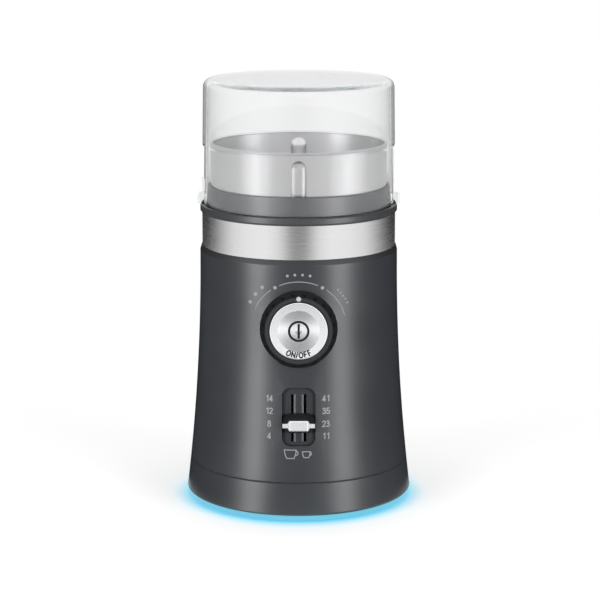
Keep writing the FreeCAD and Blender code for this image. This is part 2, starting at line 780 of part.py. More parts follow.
def well_space():
    """Space of the well, taken out of everything in the collar."""
    return turned([
        (0, WELL_FLOOR_Z),
        (WELL_FLOOR_R, WELL_FLOOR_Z),
        (WELL_R, WELL_KNEE_Z),
        (WELL_R, NECK_TOP_Z + 1),
        (0, NECK_TOP_Z + 1),
    ])


def top_collar():
    spigot_r = inner_r(FLARE_TOP_Z) - FIT_GAP
    spigot_z = RIM_Z - SPIGOT_H
    wall_in = BAND_SEAT_R - COLLAR_WALL
    roof_z = BAND_TOP_Z + COLLAR_WALL
    rise = WELL_KNEE_Z - COLLAR_UNDER_Z
    lean = (WELL_R - WELL_FLOOR_R) / (WELL_KNEE_Z - WELL_FLOOR_Z)
    shell_knee_r = WELL_R + COLLAR_WALL
    shell_floor_r = shell_knee_r - lean * rise
    edge = (FLANGE_R - FLANGE_EDGE_R, FLANGE_TOP_Z - FLANGE_EDGE_R)
    neck_edge = (NECK_R - FLANGE_EDGE_R, NECK_TOP_Z - FLANGE_EDGE_R)
    body = turned([
        (WELL_HOLE_R, COLLAR_UNDER_Z),
        (shell_floor_r, COLLAR_UNDER_Z),
        (shell_knee_r, WELL_KNEE_Z),
        (shell_knee_r, roof_z),
        (wall_in, roof_z),
        (wall_in, RIM_Z + COLLAR_WALL),
        (spigot_r - SPIGOT_T, RIM_Z),
        (spigot_r - SPIGOT_T, spigot_z),
        (spigot_r, spigot_z),
        (spigot_r, RIM_Z),
        (BAND_SEAT_R, RIM_Z),
        (BAND_SEAT_R, BAND_TOP_Z),
        (FLANGE_R - FLANGE_BEVEL, BAND_TOP_Z),
        (FLANGE_R, BAND_TOP_Z + FLANGE_BEVEL),
        (FLANGE_R, edge[1]),
        (corner_arc(edge, FLANGE_EDGE_R, 45), (edge[0], FLANGE_TOP_Z)),
        (NECK_R, FLANGE_TOP_Z),
        (NECK_R, neck_edge[1]),
        (corner_arc(neck_edge, FLANGE_EDGE_R, 45), (neck_edge[0], NECK_TOP_Z)),
        (WELL_HOLE_R, NECK_TOP_Z),
    ])
    post = rod(COLLAR_POST_R, COLLAR_POST_Z, COLLAR_POST_Z + COLLAR_POST_H, COLLAR_POST_RING_R, 0)
    posts = around(post, DIAGONAL_ANGLES)
    bosses = []
    for sx, sy in CORNERS:
        bosses.append(rod(MOUNT_BOSS_R, MOUNT_TOP_Z, WELL_FLOOR_Z, sx * MOUNT_X, sy * MOUNT_Y))
    boss_r = (BAND_SEAT_R - WELL_R) / 2 - RUN_GAP
    boss_z = FLANGE_TOP_Z - PLUNGER_L + MOVE_GAP
    bosses.append(rod(boss_r, boss_z, roof_z, PLUNGER_X, 0))
    ledge_top = RIM_Z - INTERLOCK_H
    half = INTERLOCK_W / 2
    bosses.append(block(WELL_FLOOR_R, interlock_x(), -half, half, ledge_top - INTERLOCK_LEDGE_T, ledge_top))
    body = body.fuse(posts + bosses).cut(well_space())
    key = rod(KEY_R, WELL_FLOOR_Z - 1, WELL_FLOOR_Z + KEY_H, KEY_RING_R, 0)
    body = body.fuse(around(key, steps_round(KEY_COUNT, 90)))
    bore_z = FLANGE_TOP_Z - PLUNGER_L - PLUNGER_TRAVEL - MOVE_GAP
    holes = [rod(PLUNGER_R + RUN_GAP, bore_z, FLANGE_TOP_Z + 1, PLUNGER_X, 0)]
    hole_top = COLLAR_POST_Z + COLLAR_SCREW_GRIP + SCREW_TIP_GAP
    screw_hole = rod(SCREW_R + RUN_GAP, COLLAR_POST_Z - 1, hole_top, COLLAR_POST_RING_R, 0)
    holes += around(screw_hole, DIAGONAL_ANGLES)
    for sx, sy in CORNERS:
        top = MOUNT_TOP_Z + MOTOR_SCREW_GRIP + SCREW_TIP_GAP
        holes.append(rod(SCREW_R + RUN_GAP, MOUNT_TOP_Z - 1, top, sx * MOUNT_X, sy * MOUNT_Y))
    return body.cut(holes).removeSplitter()


def steel_band():
    return tube(BAND_R, BAND_R - BAND_T, RIM_Z + RUN_GAP, BAND_TOP_Z - RUN_GAP)


def collar_screws():
    head_low = COLLAR_POST_Z - LUG_T - SCREW_HEAD_H
    end = COLLAR_POST_Z + COLLAR_SCREW_GRIP
    return group(around(screw(head_low, end, COLLAR_POST_RING_R, 0), DIAGONAL_ANGLES))


def interlock_x():
    """Outer face of the lid switch, just inside the collar's spigot."""
    spigot_in = inner_r(FLARE_TOP_Z) - FIT_GAP - SPIGOT_T
    return math.sqrt(spigot_in ** 2 - (INTERLOCK_W / 2) ** 2) - FIT_GAP


def interlock_switch():
    x1 = interlock_x()
    low = RIM_Z - INTERLOCK_H
    body = block(x1 - INTERLOCK_D, x1, -INTERLOCK_W / 2, INTERLOCK_W / 2, low, RIM_Z)
    pin_top = FLANGE_TOP_Z - PLUNGER_L - PLUNGER_TRAVEL - FIT_GAP
    pin_r = PLUNGER_R / 2
    pin = rod(pin_r, RIM_Z, pin_top, x1 - pin_r, 0)
    return body.fuse(pin)


def interlock_plunger():
    return rod(PLUNGER_R, FLANGE_TOP_Z - PLUNGER_L, FLANGE_TOP_Z, PLUNGER_X, 0)


# Bowl and lid

def bowl_form(inset):
    """Filled bowl, drawn in by an even thickness."""
    r = BOWL_R - inset
    round_r = BOWL_ROUND_R - inset
    centre = (BOWL_R - BOWL_ROUND_R, BOWL_ROUND_Z)
    top = BOWL_RIM_Z + (1 if inset else 0)
    body = turned([
        (0, BOWL_BOTTOM_Z + inset),
        (centre[0], BOWL_BOTTOM_Z + inset),
        (corner_arc(centre, round_r, -45), (r, BOWL_ROUND_Z)),
        (r, top),
        (0, top),
    ])
    half = GROOVE_W / 2
    tool_r = (half ** 2 + GROOVE_DEPTH ** 2) / (2 * GROOVE_DEPTH)
    tool_x = BOWL_R - GROOVE_DEPTH + tool_r
    reach = tool_r + inset
    tool_top = BOWL_RIM_Z - GROOVE_DROP - tool_r
    tool = rod(reach, BOWL_BOTTOM_Z, tool_top, tool_x, 0)
    tool = tool.fuse(Part.makeSphere(reach, V(tool_x, 0, tool_top)))
    return body.cut(around(tool, GROOVE_ANGLES))


def grinding_bowl():
    shell = bowl_form(0).cut(bowl_form(BOWL_T))
    bead_r = BOWL_R - BOWL_T / 2
    bead = Part.makeTorus(bead_r, BOWL_BEAD_R, V(0, 0, BOWL_RIM_Z - BOWL_BEAD_R))
    hole = rod(BUSH_R + FIT_GAP, BOWL_BOTTOM_Z - 1, BOWL_BOTTOM_Z + BOWL_T + 1)
    return shell.fuse(bead).cut(hole).removeSplitter()


def bowl_base():
    hub_r = BOWL_R - BOWL_ROUND_R - BOWL_BASE_INSET
    disc = rod(WELL_FLOOR_R - BOWL_BASE_INSET, WELL_FLOOR_Z, WELL_FLOOR_Z + BOWL_BASE_T)
    body = disc.fuse(rod(hub_r, WELL_FLOOR_Z, BOWL_BOTTOM_Z))
    holes = [rod(BUSH_R + FIT_GAP, WELL_FLOOR_Z - 1, BOWL_BOTTOM_Z + 1)]
    key_hole = rod(KEY_R + MOVE_GAP, WELL_FLOOR_Z - 1, WELL_FLOOR_Z + KEY_H + MOVE_GAP, KEY_RING_R, 0)
    holes += around(key_hole, steps_round(KEY_COUNT, 90))
    return body.cut(holes).removeSplitter()


def spindle_bush():
    return turned([
        (SPINDLE_R + RUN_GAP, BUSH_Z),
        (BUSH_R, BUSH_Z),
        (BUSH_R, BUSH_SEAT_Z),
        (BUSH_FLANGE_R, BUSH_SEAT_Z),
        (BUSH_FLANGE_R, BUSH_TOP_Z),
        (SPINDLE_R + RUN_GAP, BUSH_TOP_Z),
    ])


def spindle_seal():
    return tube(SEAL_R, SPINDLE_R + RUN_GAP, BUSH_TOP_Z, SEAL_TOP_Z)


def lid_rib(outer, width, low, high):
    """Upright rib on the lid's right-hand side."""
    inside = LID_IN_FOOT_R + LID_SKIRT_WALL / 2
    return tube(outer, inside, low, high).common(block(0, 2 * outer, -width / 2, width / 2, low, high))


def lid():
    step_r = LID_IN_STEP_R + LID_WALL
    top_r = LID_IN_TOP_R + LID_WALL
    edge = (top_r - LID_EDGE_R, LID_TOP_Z - LID_EDGE_R)
    roof_z = LID_TOP_Z - LID_TOP_T
    in_edge = (LID_IN_TOP_R - LID_INNER_EDGE_R, roof_z - LID_INNER_EDGE_R)
    step_rise = LID_WALL - LID_SKIRT_WALL
    body = turned([
        (LID_IN_FOOT_R, FLANGE_TOP_Z),
        (LID_SKIRT_R, FLANGE_TOP_Z),
        (LID_IN_STEP_R + LID_SKIRT_WALL, LID_STEP_Z - step_rise),
        (step_r, LID_STEP_Z),
        (top_r, edge[1]),
        (corner_arc(edge, LID_EDGE_R, 45), (edge[0], LID_TOP_Z)),
        (LID_GATE_R, LID_TOP_Z),
        (LID_GATE_R, LID_TOP_Z - LID_GATE_T),
        (0, LID_TOP_Z - LID_GATE_T),
        (0, roof_z),
        (in_edge[0], roof_z),
        (corner_arc(in_edge, LID_INNER_EDGE_R, 45), (LID_IN_TOP_R, in_edge[1])),
        (LID_IN_STEP_R, LID_STEP_Z),
    ])
    lug_top = FLANGE_TOP_Z + LID_LUG_H
    lug = lid_rib(LID_SKIRT_R + LID_LUG_T, LID_LUG_W, FLANGE_TOP_Z, lug_top)
    long_rib = lid_rib(step_r, LID_RIB_W, lug_top, LID_STEP_Z)
    short_rib_r = LID_SKIRT_R + LID_SHORT_RIB_T
    short_rib = lid_rib(short_rib_r, LID_RIB_W, lug_top, lug_top + LID_SHORT_RIB_H)
    return body.fuse([lug, turn_z(lug, 180), long_rib, turn_z(short_rib, 180)]).removeSplitter()


# Spindle, blade and couplers

def blade_spindle():
    top = BLADE_Z + BLADE_T + SPINDLE_TOP
    shaft = rod(SPINDLE_R, DRIVEN_Z, top)
    return shaft.fuse(rod(SPINDLE_SHOULDER_R, SHOULDER_Z, BLADE_Z)).removeSplitter()


def grinding_blade():
    under = [(-BLADE_REACH, BLADE_RISE), (-BLADE_FLAT, 0), (BLADE_FLAT, 0), (BLADE_REACH, BLADE_RISE)]
    over = [(x, z + BLADE_T) for x, z in reversed(under)]
    face = profile(under + over)
    bar = face.extrude(V(0, BLADE_W, 0))
    bar.translate(V(0, -BLADE_W / 2, BLADE_Z))
    half, tip = BLADE_W / 2, BLADE_TIP_W / 2
    plan = prism([
        (-BLADE_REACH, -tip), (-BLADE_FLAT, -half), (BLADE_FLAT, -half), (BLADE_REACH, -tip),
        (BLADE_REACH, tip), (BLADE_FLAT, half), (-BLADE_FLAT, half), (-BLADE_REACH, tip),
    ], BLADE_Z - 1, BLADE_Z + BLADE_RISE + BLADE_T + 1)
    return bar.common(plan).cut(rod(SPINDLE_R + RUN_GAP, BLADE_Z - 1, BLADE_Z + BLADE_T + 1))


def blade_nut():
    low = BLADE_Z + BLADE_T
    hexagon = [corner_arc((0, 0), NUT_R, angle) for angle in steps_round(6)]
    body = prism(hexagon, low, low + NUT_H)
    crown = turned([
        (0, low),
        (NUT_R, low),
        (NUT_R, low + NUT_H / 2),
        (corner_arc((NUT_R / 2, low + NUT_H / 2), NUT_H / 2, 45), (NUT_R / 2, low + NUT_H)),
        (0, low + NUT_H),
    ])
    return body.common(crown).cut(rod(SPINDLE_R + RUN_GAP, low - 1, low + SPINDLE_TOP + RUN_GAP))


def dogs(low, high, start):
    """Coupler dogs: sectors between two radii."""
    reach = 2 * COUPLER_R
    half = math.radians(DOG_ANGLE / 2)
    wedge = prism([(0, 0), (reach * math.cos(half), -reach * math.sin(half)),
                   (reach * math.cos(half), reach * math.sin(half))], low, high)
    dog = tube(COUPLER_R, DOG_IN_R, low, high).common(wedge)
    return around(dog, steps_round(DOG_COUNT, start))


def drive_coupler():
    low = DRIVE_TOP_Z - COUPLER_DISC_T
    disc = tube(COUPLER_R, SHAFT_R + RUN_GAP, low, DRIVE_TOP_Z)
    return disc.fuse(dogs(DRIVE_TOP_Z, DRIVEN_Z - DOG_AIR, 0)).removeSplitter()


def driven_coupler():
    top = DRIVEN_Z + COUPLER_DISC_T
    disc = tube(COUPLER_R, SPINDLE_R + RUN_GAP, DRIVEN_Z, top)
    thrust = tube(DOG_IN_R, SPINDLE_R + RUN_GAP, DRIVEN_Z, BUSH_Z - MOVE_GAP)
    parts = [thrust] + dogs(DRIVE_TOP_Z + DOG_AIR, DRIVEN_Z, 180.0 / DOG_COUNT)
    return disc.fuse(parts).removeSplitter()


# Motor

def motor_upper_bracket():
    half_x, half_y = STACK_X / 2, STACK_Y / 2
    plate = block(-half_x, half_x, -half_y, half_y, BRACKET_Z, BRACKET_TOP_Z)
    seat = rod(BEARING_R + BEARING_WALL, UPPER_BEARING_Z, BRACKET_Z)
    legs = [rod(LEG_R, STACK_TOP_Z, BRACKET_Z, sx * BOLT_X, sy * BOLT_Y) for sx, sy in CORNERS]
    holes = [
        rod(BEARING_R + FIT_GAP, UPPER_BEARING_Z - 1, UPPER_BEARING_Z + BEARING_H),
        rod(SHAFT_R + 2 * MOVE_GAP, BRACKET_Z - 1, BRACKET_TOP_Z + 1),
    ]
    for sx, sy in CORNERS:
        holes.append(rod(BOLT_R + RUN_GAP, STACK_TOP_Z - 1, BRACKET_TOP_Z + 1, sx * BOLT_X, sy * BOLT_Y))
        holes.append(rod(SCREW_R + FIT_GAP, BRACKET_Z - 1, BRACKET_TOP_Z + 1, sx * MOUNT_X, sy * MOUNT_Y))
    return plate.fuse([seat] + legs).cut(holes).removeSplitter()


def motor_lower_bracket():
    half_x, half_y = STACK_X / 2, STACK_Y / 2
    plate = block(-half_x, half_x, -half_y, half_y, LOWER_Z, LOWER_TOP_Z)
    seat = rod(BEARING_R + BEARING_WALL, LOWER_Z, LOWER_BEARING_Z + BEARING_H)
    legs = [rod(LEG_R, LOWER_TOP_Z, STACK_Z, sx * BOLT_X, sy * BOLT_Y) for sx, sy in CORNERS]
    half_w = BRUSH_Y / 2 + BRUSH_GAP + HOLDER_WALL
    half_h = BRUSH_Z / 2 + BRUSH_GAP + HOLDER_WALL
    start = COMMUTATOR_R + HOLDER_START + HOLDER_L - BRUSH_BLOCK_L
    wide = half_w + BRUSH_BLOCK_WALL
    high = BRUSH_MID_Z + half_h + BRUSH_BLOCK_WALL
    side = block(start, start + BRUSH_BLOCK_L, -wide, wide, LOWER_TOP_Z, high)
    gap = RUN_GAP
    port = block(start - 1, start + BRUSH_BLOCK_L + 1, -half_w - gap, half_w + gap,
                 BRUSH_MID_Z - half_h - gap, BRUSH_MID_Z + half_h + gap)
    side = side.cut(port)
    holes = [
        rod(BEARING_R + FIT_GAP, LOWER_BEARING_Z, LOWER_BEARING_Z + BEARING_H + 1),
        rod(SHAFT_R + 2 * MOVE_GAP, LOWER_Z - 1, LOWER_TOP_Z),
    ]
    for sx, sy in CORNERS:
        holes.append(rod(BOLT_R + RUN_GAP, LOWER_Z - 1, STACK_Z + 1, sx * BOLT_X, sy * BOLT_Y))
    body = plate.fuse([seat, side, turn_z(side, 180)] + legs)
    return body.cut(holes).removeSplitter()


def stator_core():
    half_x, half_y = STACK_X / 2, STACK_Y / 2
    pack = block(-half_x, half_x, -half_y, half_y, STACK_Z, STACK_TOP_Z)
    low, high = STACK_Z - 1, STACK_TOP_Z + 1
    slot_y = POLE_HALF_W + COIL_SLOT_W
    cuts = [
        rod(BORE_R, low, high),
        block(-COIL_SLOT_X, COIL_SLOT_X, POLE_HALF_W, slot_y, low, high),
        block(-COIL_SLOT_X, COIL_SLOT_X, -slot_y, -POLE_HALF_W, low, high),
    ]
    for sx, sy in CORNERS:
        cuts.append(rod(BOLT_R + RUN_GAP, low, high, sx * BOLT_X, sy * BOLT_Y))
    return pack.cut(cuts)


def field_coils():
    x1 = COIL_SLOT_X - FIT_GAP
    in_y = POLE_HALF_W + FIT_GAP
    in_low, in_high = STACK_Z - FIT_GAP, STACK_TOP_Z + FIT_GAP
    outer = block(x1 - COIL_T, x1, -in_y - COIL_W, in_y + COIL_W, in_low - COIL_W, in_high + COIL_W)
    rims = [e for e in outer.Edges if abs(e.tangentAt(e.FirstParameter).x) > 0.9]
    outer = outer.makeFillet(COIL_W / 2, rims)
    coil = outer.cut(block(x1 - COIL_T - 1, x1 + 1, -in_y, in_y, in_low, in_high))
    return group([coil, turn_z(coil, 180)])


def motor_bolts():
    bolts = []
    for sx, sy in CORNERS:
        head = rod(BOLT_HEAD_R, LOWER_Z - BOLT_HEAD_H, LOWER_Z, sx * BOLT_X, sy * BOLT_Y)
        bolts.append(head.fuse(rod(BOLT_R, LOWER_Z, BRACKET_TOP_Z, sx * BOLT_X, sy * BOLT_Y)))
    return group(bolts)


def upper_bearing():
    return tube(BEARING_R, SHAFT_R + RUN_GAP, UPPER_BEARING_Z, UPPER_BEARING_Z + BEARING_H)


def lower_bearing():
    return tube(BEARING_R, SHAFT_R + RUN_GAP, LOWER_BEARING_Z, LOWER_BEARING_Z + BEARING_H)


def brush_holders():
    in_y, in_z = BRUSH_Y / 2 + BRUSH_GAP, BRUSH_Z / 2 + BRUSH_GAP
    out_y, out_z = in_y + HOLDER_WALL, in_z + HOLDER_WALL
    start = COMMUTATOR_R + HOLDER_START
    end = start + HOLDER_L
    body = block(start, end, -out_y, out_y, BRUSH_MID_Z - out_z, BRUSH_MID_Z + out_z)
    low, high = BRUSH_MID_Z - in_z, BRUSH_MID_Z + in_z
    body = body.cut(block(start - 1, end - HOLDER_CAP_T, -in_y, in_y, low, high))
    return group([body, turn_z(body, 180)])


def carbon_brushes():
    start = COMMUTATOR_R + BRUSH_GAP
    half_y, half_z = BRUSH_Y / 2, BRUSH_Z / 2
    brush = block(start, start + BRUSH_L, -half_y, half_y, BRUSH_MID_Z - half_z, BRUSH_MID_Z + half_z)
    return group([brush, turn_z(brush, 180)])


def tangent_arc(start, corner, end):
    """Arc between two points whose end tangents meet at a corner."""
    middle = (start + end) * 0.5
    half = (end - start).Length / 2
    rise = corner - middle
    sagitta = half * math.tan(math.atan2(rise.Length, half) / 2)
    return Part.Arc(start, middle + rise.normalize() * sagitta, end).toShape()


def coil_spring(radius, wire, low, high, turns):
    """Round-wire spring about the Z axis, each quarter turn two tangent arcs."""
    height = high - low - 2 * wire
    quarters = SPRING_QUARTERS * turns
    turn = 2 * math.pi / SPRING_QUARTERS
    slope = height / (turns * 2 * math.pi)
    points = []
    tangents = []
    for i in range(quarters + 1):
        angle = i * turn
        points.append(V(radius * math.cos(angle), radius * math.sin(angle), low + wire + slope * angle))
        tangents.append(V(-radius * math.sin(angle), radius * math.cos(angle), slope).normalize())
    edges = []
    for i in range(quarters):
        reach = points[i + 1] - points[i]
        lean = reach.dot(tangents[i] + tangents[i + 1])
        bend = 2 * (1 - tangents[i].dot(tangents[i + 1]))
        arm = (math.sqrt(lean ** 2 + bend * reach.dot(reach)) - lean) / bend
        first = points[i] + tangents[i] * arm
        second = points[i + 1] - tangents[i + 1] * arm
        joint = (first + second) * 0.5
        edges.append(tangent_arc(points[i], first, joint))
        edges.append(tangent_arc(joint, second, points[i + 1]))
    section = Part.Wire(Part.makeCircle(wire, points[0], tangents[0]))
    return Part.Wire(edges).makePipeShell([section], True, False)


def brush_springs():
    start = COMMUTATOR_R + BRUSH_GAP + BRUSH_L
    end = COMMUTATOR_R + HOLDER_START + HOLDER_L - HOLDER_CAP_T
    wire = SPRING_WIRE_R / 2
    spring = coil_spring(BRUSH_Y / 2 - wire, wire, start, end, SPRING_TURNS)
    spring.rotate(V(0, 0, 0), V(0, 1, 0), 90)
    spring.translate(V(0, 0, BRUSH_MID_Z))
    return group([spring, turn_z(spring, 180)])


def motor_mounts():
    mounts = []
    hole_r = SCREW_R + FIT_GAP
    for sx, sy in CORNERS:
        mounts.append(tube(MOUNT_R, hole_r, BRACKET_TOP_Z, MOUNT_TOP_Z, sx * MOUNT_X, sy * MOUNT_Y))
    return group(mounts)


def motor_screws():
    head_low = BRACKET_Z - SCREW_HEAD_H
    end = MOUNT_TOP_Z + MOTOR_SCREW_GRIP
    return group([screw(head_low, end, sx * MOUNT_X, sy * MOUNT_Y) for sx, sy in CORNERS])


def motor_shaft():
    return rod(SHAFT_R, LOWER_Z - SHAFT_TAIL, DRIVE_TOP_Z)


def armature_core():
    return tube(BORE_R - AIR_GAP, SHAFT_R + RUN_GAP, STACK_Z, STACK_TOP_Z)


def armature_winding():
    ends = [
        tube(WINDING_R, SHAFT_R + RUN_GAP, STACK_Z - WINDING_H, STACK_Z),
        tube(WINDING_R, SHAFT_R + RUN_GAP, STACK_TOP_Z, STACK_TOP_Z + WINDING_H),
    ]
    return group(ends)


def commutator():
    return tube(COMMUTATOR_R, SHAFT_R + RUN_GAP, COMMUTATOR_Z, COMMUTATOR_Z + COMMUTATOR_H)


def cooling_fan():
    disc = rod(FAN_R, FAN_Z, FAN_Z + FAN_DISC_T)
    hub = rod(FAN_HUB_R, FAN_Z, FAN_Z + FAN_H)
    vane = block(FAN_HUB_R - 1, FAN_R - 1, -FAN_VANE_T / 2, FAN_VANE_T / 2, FAN_Z, FAN_Z + FAN_H)
    body = disc.fuse([hub] + around(vane, steps_round(FAN_VANES)))
    return body.cut(rod(SHAFT_R + RUN_GAP, FAN_Z - 1, FAN_Z + FAN_H + 1)).removeSplitter()


# Dial, button and board

def pointer_pin(radius, low, high):
    """Pointer set into the dial's front, above its centre."""
    return rod(radius, low, high, 0, POINTER_RING_R)


def grind_dial():
    pocket_r = BUTTON_R + MOVE_GAP
    slope_d = DIAL_BACK_D + DIAL_FLANGE_T
    edge = (DIAL_FRONT_R - DIAL_ROUND, DIAL_FRONT_D - DIAL_ROUND)
    body = turned([
        (HUB_R - HUB_T, HUB_END_D),
        (HUB_R, HUB_END_D),
        (HUB_R, DIAL_BACK_D),
        (DIAL_R - DIAL_EDGE, DIAL_BACK_D),
        (DIAL_R, DIAL_BACK_D + DIAL_EDGE),
        (DIAL_R, slope_d),
        (DIAL_FRONT_R, edge[1]),
        (corner_arc(edge, DIAL_ROUND, 45), (edge[0], DIAL_FRONT_D)),
        (pocket_r + DIAL_EDGE, DIAL_FRONT_D),
        (pocket_r, DIAL_FRONT_D - DIAL_EDGE),
        (pocket_r, WEB_D),
        (HUB_R - HUB_T, WEB_D),
    ])
    notch = rod(NOTCH_R, DIAL_FRONT_D - NOTCH_L, DIAL_FRONT_D + 1, DIAL_FRONT_R + NOTCH_OUT, 0)
    cuts = around(notch, steps_round(NOTCH_COUNT, 180.0 / NOTCH_COUNT))
    cuts.append(pointer_pin(POINTER_R + RUN_GAP, DIAL_FRONT_D - POINTER_DEPTH, DIAL_FRONT_D + 1))
    return facing(body.cut(cuts))


def dial_pointer():
    return facing(pointer_pin(POINTER_R, DIAL_FRONT_D - POINTER_DEPTH, DIAL_FRONT_D + POINTER_PROUD))


def dial_wiper():
    ring = tube(WIPER_OUT_R, WIPER_IN_R, WIPER_D, HUB_END_D)
    tip = BOARD_D + SELECTOR_T + MOVE_GAP
    finger = rod(WIPER_FINGER_R, tip, WIPER_D + WIPER_T / 2, WIPER_FINGER_RING_R, 0)
    return facing(ring.fuse(around(finger, steps_round(3, 90))).removeSplitter())


def grind_selector():
    return facing(tube(SELECTOR_OUT_R, SELECTOR_IN_R, BOARD_D, BOARD_D + SELECTOR_T))


def power_button():
    dish_r = (BUTTON_DISH_R ** 2 + BUTTON_DISH_DEPTH ** 2) / (2 * BUTTON_DISH_DEPTH)
    dish_centre = BUTTON_FRONT_D - BUTTON_DISH_DEPTH + dish_r
    half = BUTTON_DISH_R / 2
    dish_half_d = dish_centre - math.sqrt(dish_r ** 2 - half ** 2)
    rim = (BUTTON_R - BUTTON_EDGE, BUTTON_FRONT_D - BUTTON_EDGE)
    cap = turned([
        (0, CAP_BACK_D),
        (BUTTON_R, CAP_BACK_D),
        (BUTTON_R, rim[1]),
        (corner_arc(rim, BUTTON_EDGE, 45), (rim[0], BUTTON_FRONT_D)),
        (BUTTON_DISH_R, BUTTON_FRONT_D),
        ((half, dish_half_d), (0, BUTTON_FRONT_D - BUTTON_DISH_DEPTH)),
    ])
    return facing(cap)


def button_stem():
    head = rod(BUTTON_HEAD_R, HEAD_BACK_D, CAP_BACK_D)
    stem = rod(STEM_R, STEM_END_D, HEAD_BACK_D)
    tip = rod(STEM_TIP_R, STEM_END_D - STEM_TIP_L, STEM_END_D)
    return facing(head.fuse([stem, tip]).removeSplitter())


def button_guide():
    outer = STEM_R + RUN_GAP + GUIDE_WALL
    body = rod(outer, BOARD_D, BOARD_D + GUIDE_L)
    body = body.fuse(rod(GUIDE_FLANGE_R, GUIDE_FLANGE_D, SPRING_SEAT_D))
    return facing(body.cut(rod(STEM_R + RUN_GAP, BOARD_D - 1, BOARD_D + GUIDE_L + 1)).removeSplitter())


def button_spring():
    return facing(coil_spring(SPRING_R, SPRING_WIRE_R, SPRING_SEAT_D, HEAD_BACK_D, SPRING_TURNS))


def power_switch():
    half = SWITCH_W / 2
    body = block(-half, half, -half, half, BOARD_D, BOARD_D + SWITCH_T)
    front = BOARD_D + SWITCH_T
    return facing(body.cut(rod(STEM_TIP_R + MOVE_GAP, front - SWITCH_WELL, front + 1)))


def control_board():
    board = block(-BOARD_HALF_W, BOARD_HALF_W, -BOARD_D, -BOARD_D + BOARD_T, BOARD_Z, BOARD_TOP_Z)
    holes = []
    for x, z in board_post_places():
        holes.append(front_rod(SCREW_R + FIT_GAP, BOARD_D - BOARD_T - 1, BOARD_D + 1, x, z))
    return board.cut(holes)


def board_screws():
    back = BOARD_D - BOARD_T
    screws = []
    for x, z in board_post_places():
        head = front_rod(SCREW_HEAD_R, back - SCREW_HEAD_H, back, x, z)
        screws.append(head.fuse(front_rod(SCREW_R, back, BOARD_D + BOARD_SCREW_GRIP, x, z)))
    return group(screws)


# Slider

def slider_track():
    flange_w = WINDOW_W + 2 * TRACK_FLANGE
    flange_h = WINDOW_H + 2 * TRACK_FLANGE
    flange = block(-flange_w / 2, flange_w / 2, -flange_h / 2, flange_h / 2, -TRACK_BACK, -PAD_BACK)
    fit = 2 * FIT_GAP
    face = rounded_block(WINDOW_W - fit, WINDOW_H - fit, WINDOW_CORNER - FIT_GAP, -TRACK_BACK, -TRACK_DEPTH)
    low = SLIDER_LOW - LEG_H / 2 - SLOT_END
    high = SLIDER_HIGH + LEG_H / 2 + SLOT_END
    tongue = SLOT_X - SLOT_W / 2
    bevel = profile([
        (tongue - TONGUE_BEVEL_W, -TRACK_DEPTH),
        (tongue + SLOT_W / 2, -TRACK_DEPTH),
        (tongue + SLOT_W / 2, -TRACK_DEPTH - TONGUE_BEVEL_H),
        (tongue, -TRACK_DEPTH - TONGUE_BEVEL_H),
    ]).extrude(V(0, high - low, 0))
    bevel.translate(V(0, low, 0))
    cuts = [bevel, bevel.mirror(V(0, 0, 0), V(1, 0, 0))]
    for side in (-1, 1):
        x = side * SLOT_X
        cuts.append(block(x - SLOT_W / 2, x + SLOT_W / 2, low, high, -TRACK_BACK - 1, 0))
    return on_wall(flange.fuse(face).cut(cuts).removeSplitter())


def slider_carriage():
    half_w = WINDOW_W / 2 - CARRIAGE_SIDE_GAP
    back = -TRACK_DEPTH + MOVE_GAP
    height = CARRIAGE_ABOVE + CARRIAGE_BELOW
    body = rounded_block(2 * half_w, height, CARRIAGE_CORNER, back, CARRIAGE_FRONT)
    front_rims = [e for e in body.Edges if min(v.Z for v in e.Vertexes) > CARRIAGE_FRONT - 0.01]
    body = body.makeChamfer(CARRIAGE_CHAMFER, front_rims)
    body.translate(V(0, SLIDER_REST + (CARRIAGE_ABOVE - CARRIAGE_BELOW) / 2, 0))
    leg_half = SLOT_W / 2 - LEG_SIDE_GAP
    low, high = SLIDER_REST - LEG_H / 2, SLIDER_REST + LEG_H / 2
    legs = []
    for side in (-1, 1):
        x = side * SLOT_X
        legs.append(block(x - leg_half, x + leg_half, low, high, -BRIDGE_FRONT, back))
    return on_wall(body.fuse(legs).removeSplitter())


def slider_handle():
    arm, half = HANDLE_ARM_H / 2, HANDLE_BLOCK_H / 2
    knee = HANDLE_BLOCK_HALF_W - HANDLE_SLOPE
    outline = [
        (-HANDLE_HALF_W, -arm), (-HANDLE_BLOCK_HALF_W, -arm), (-knee, -half), (knee, -half),
        (HANDLE_BLOCK_HALF_W, -arm), (HANDLE_HALF_W, -arm), (HANDLE_HALF_W, arm),
        (HANDLE_BLOCK_HALF_W, arm), (knee, half), (-knee, half), (-HANDLE_BLOCK_HALF_W, arm),
        (-HANDLE_HALF_W, arm),
    ]
    arm_front = CARRIAGE_FRONT + HANDLE_ARM_T
    front = CARRIAGE_FRONT + HANDLE_BLOCK_T
    plate = prism(outline, CARRIAGE_FRONT, arm_front)
    crown = block(-knee, knee, -half, half, arm_front, front)
    rims = [e for e in crown.Edges if min(v.Z for v in e.Vertexes) > front - 0.01]
    body = plate.fuse(crown.makeChamfer(HANDLE_CHAMFER, rims)).removeSplitter()
    body.translate(V(0, SLIDER_REST, 0))
    return on_wall(body)


def slider_bridge():
    half_h = BRIDGE_H / 2
    low, high = SLIDER_REST - half_h, SLIDER_REST + half_h
    plate = block(-BRIDGE_W / 2, BRIDGE_W / 2, low, high, -BRIDGE_BACK, -BRIDGE_FRONT)
    lever = rod(LEVER_R, -BRIDGE_BACK - LEVER_L, -BRIDGE_BACK, 0, SLIDER_REST)
    return on_wall(plate.fuse(lever).removeSplitter())


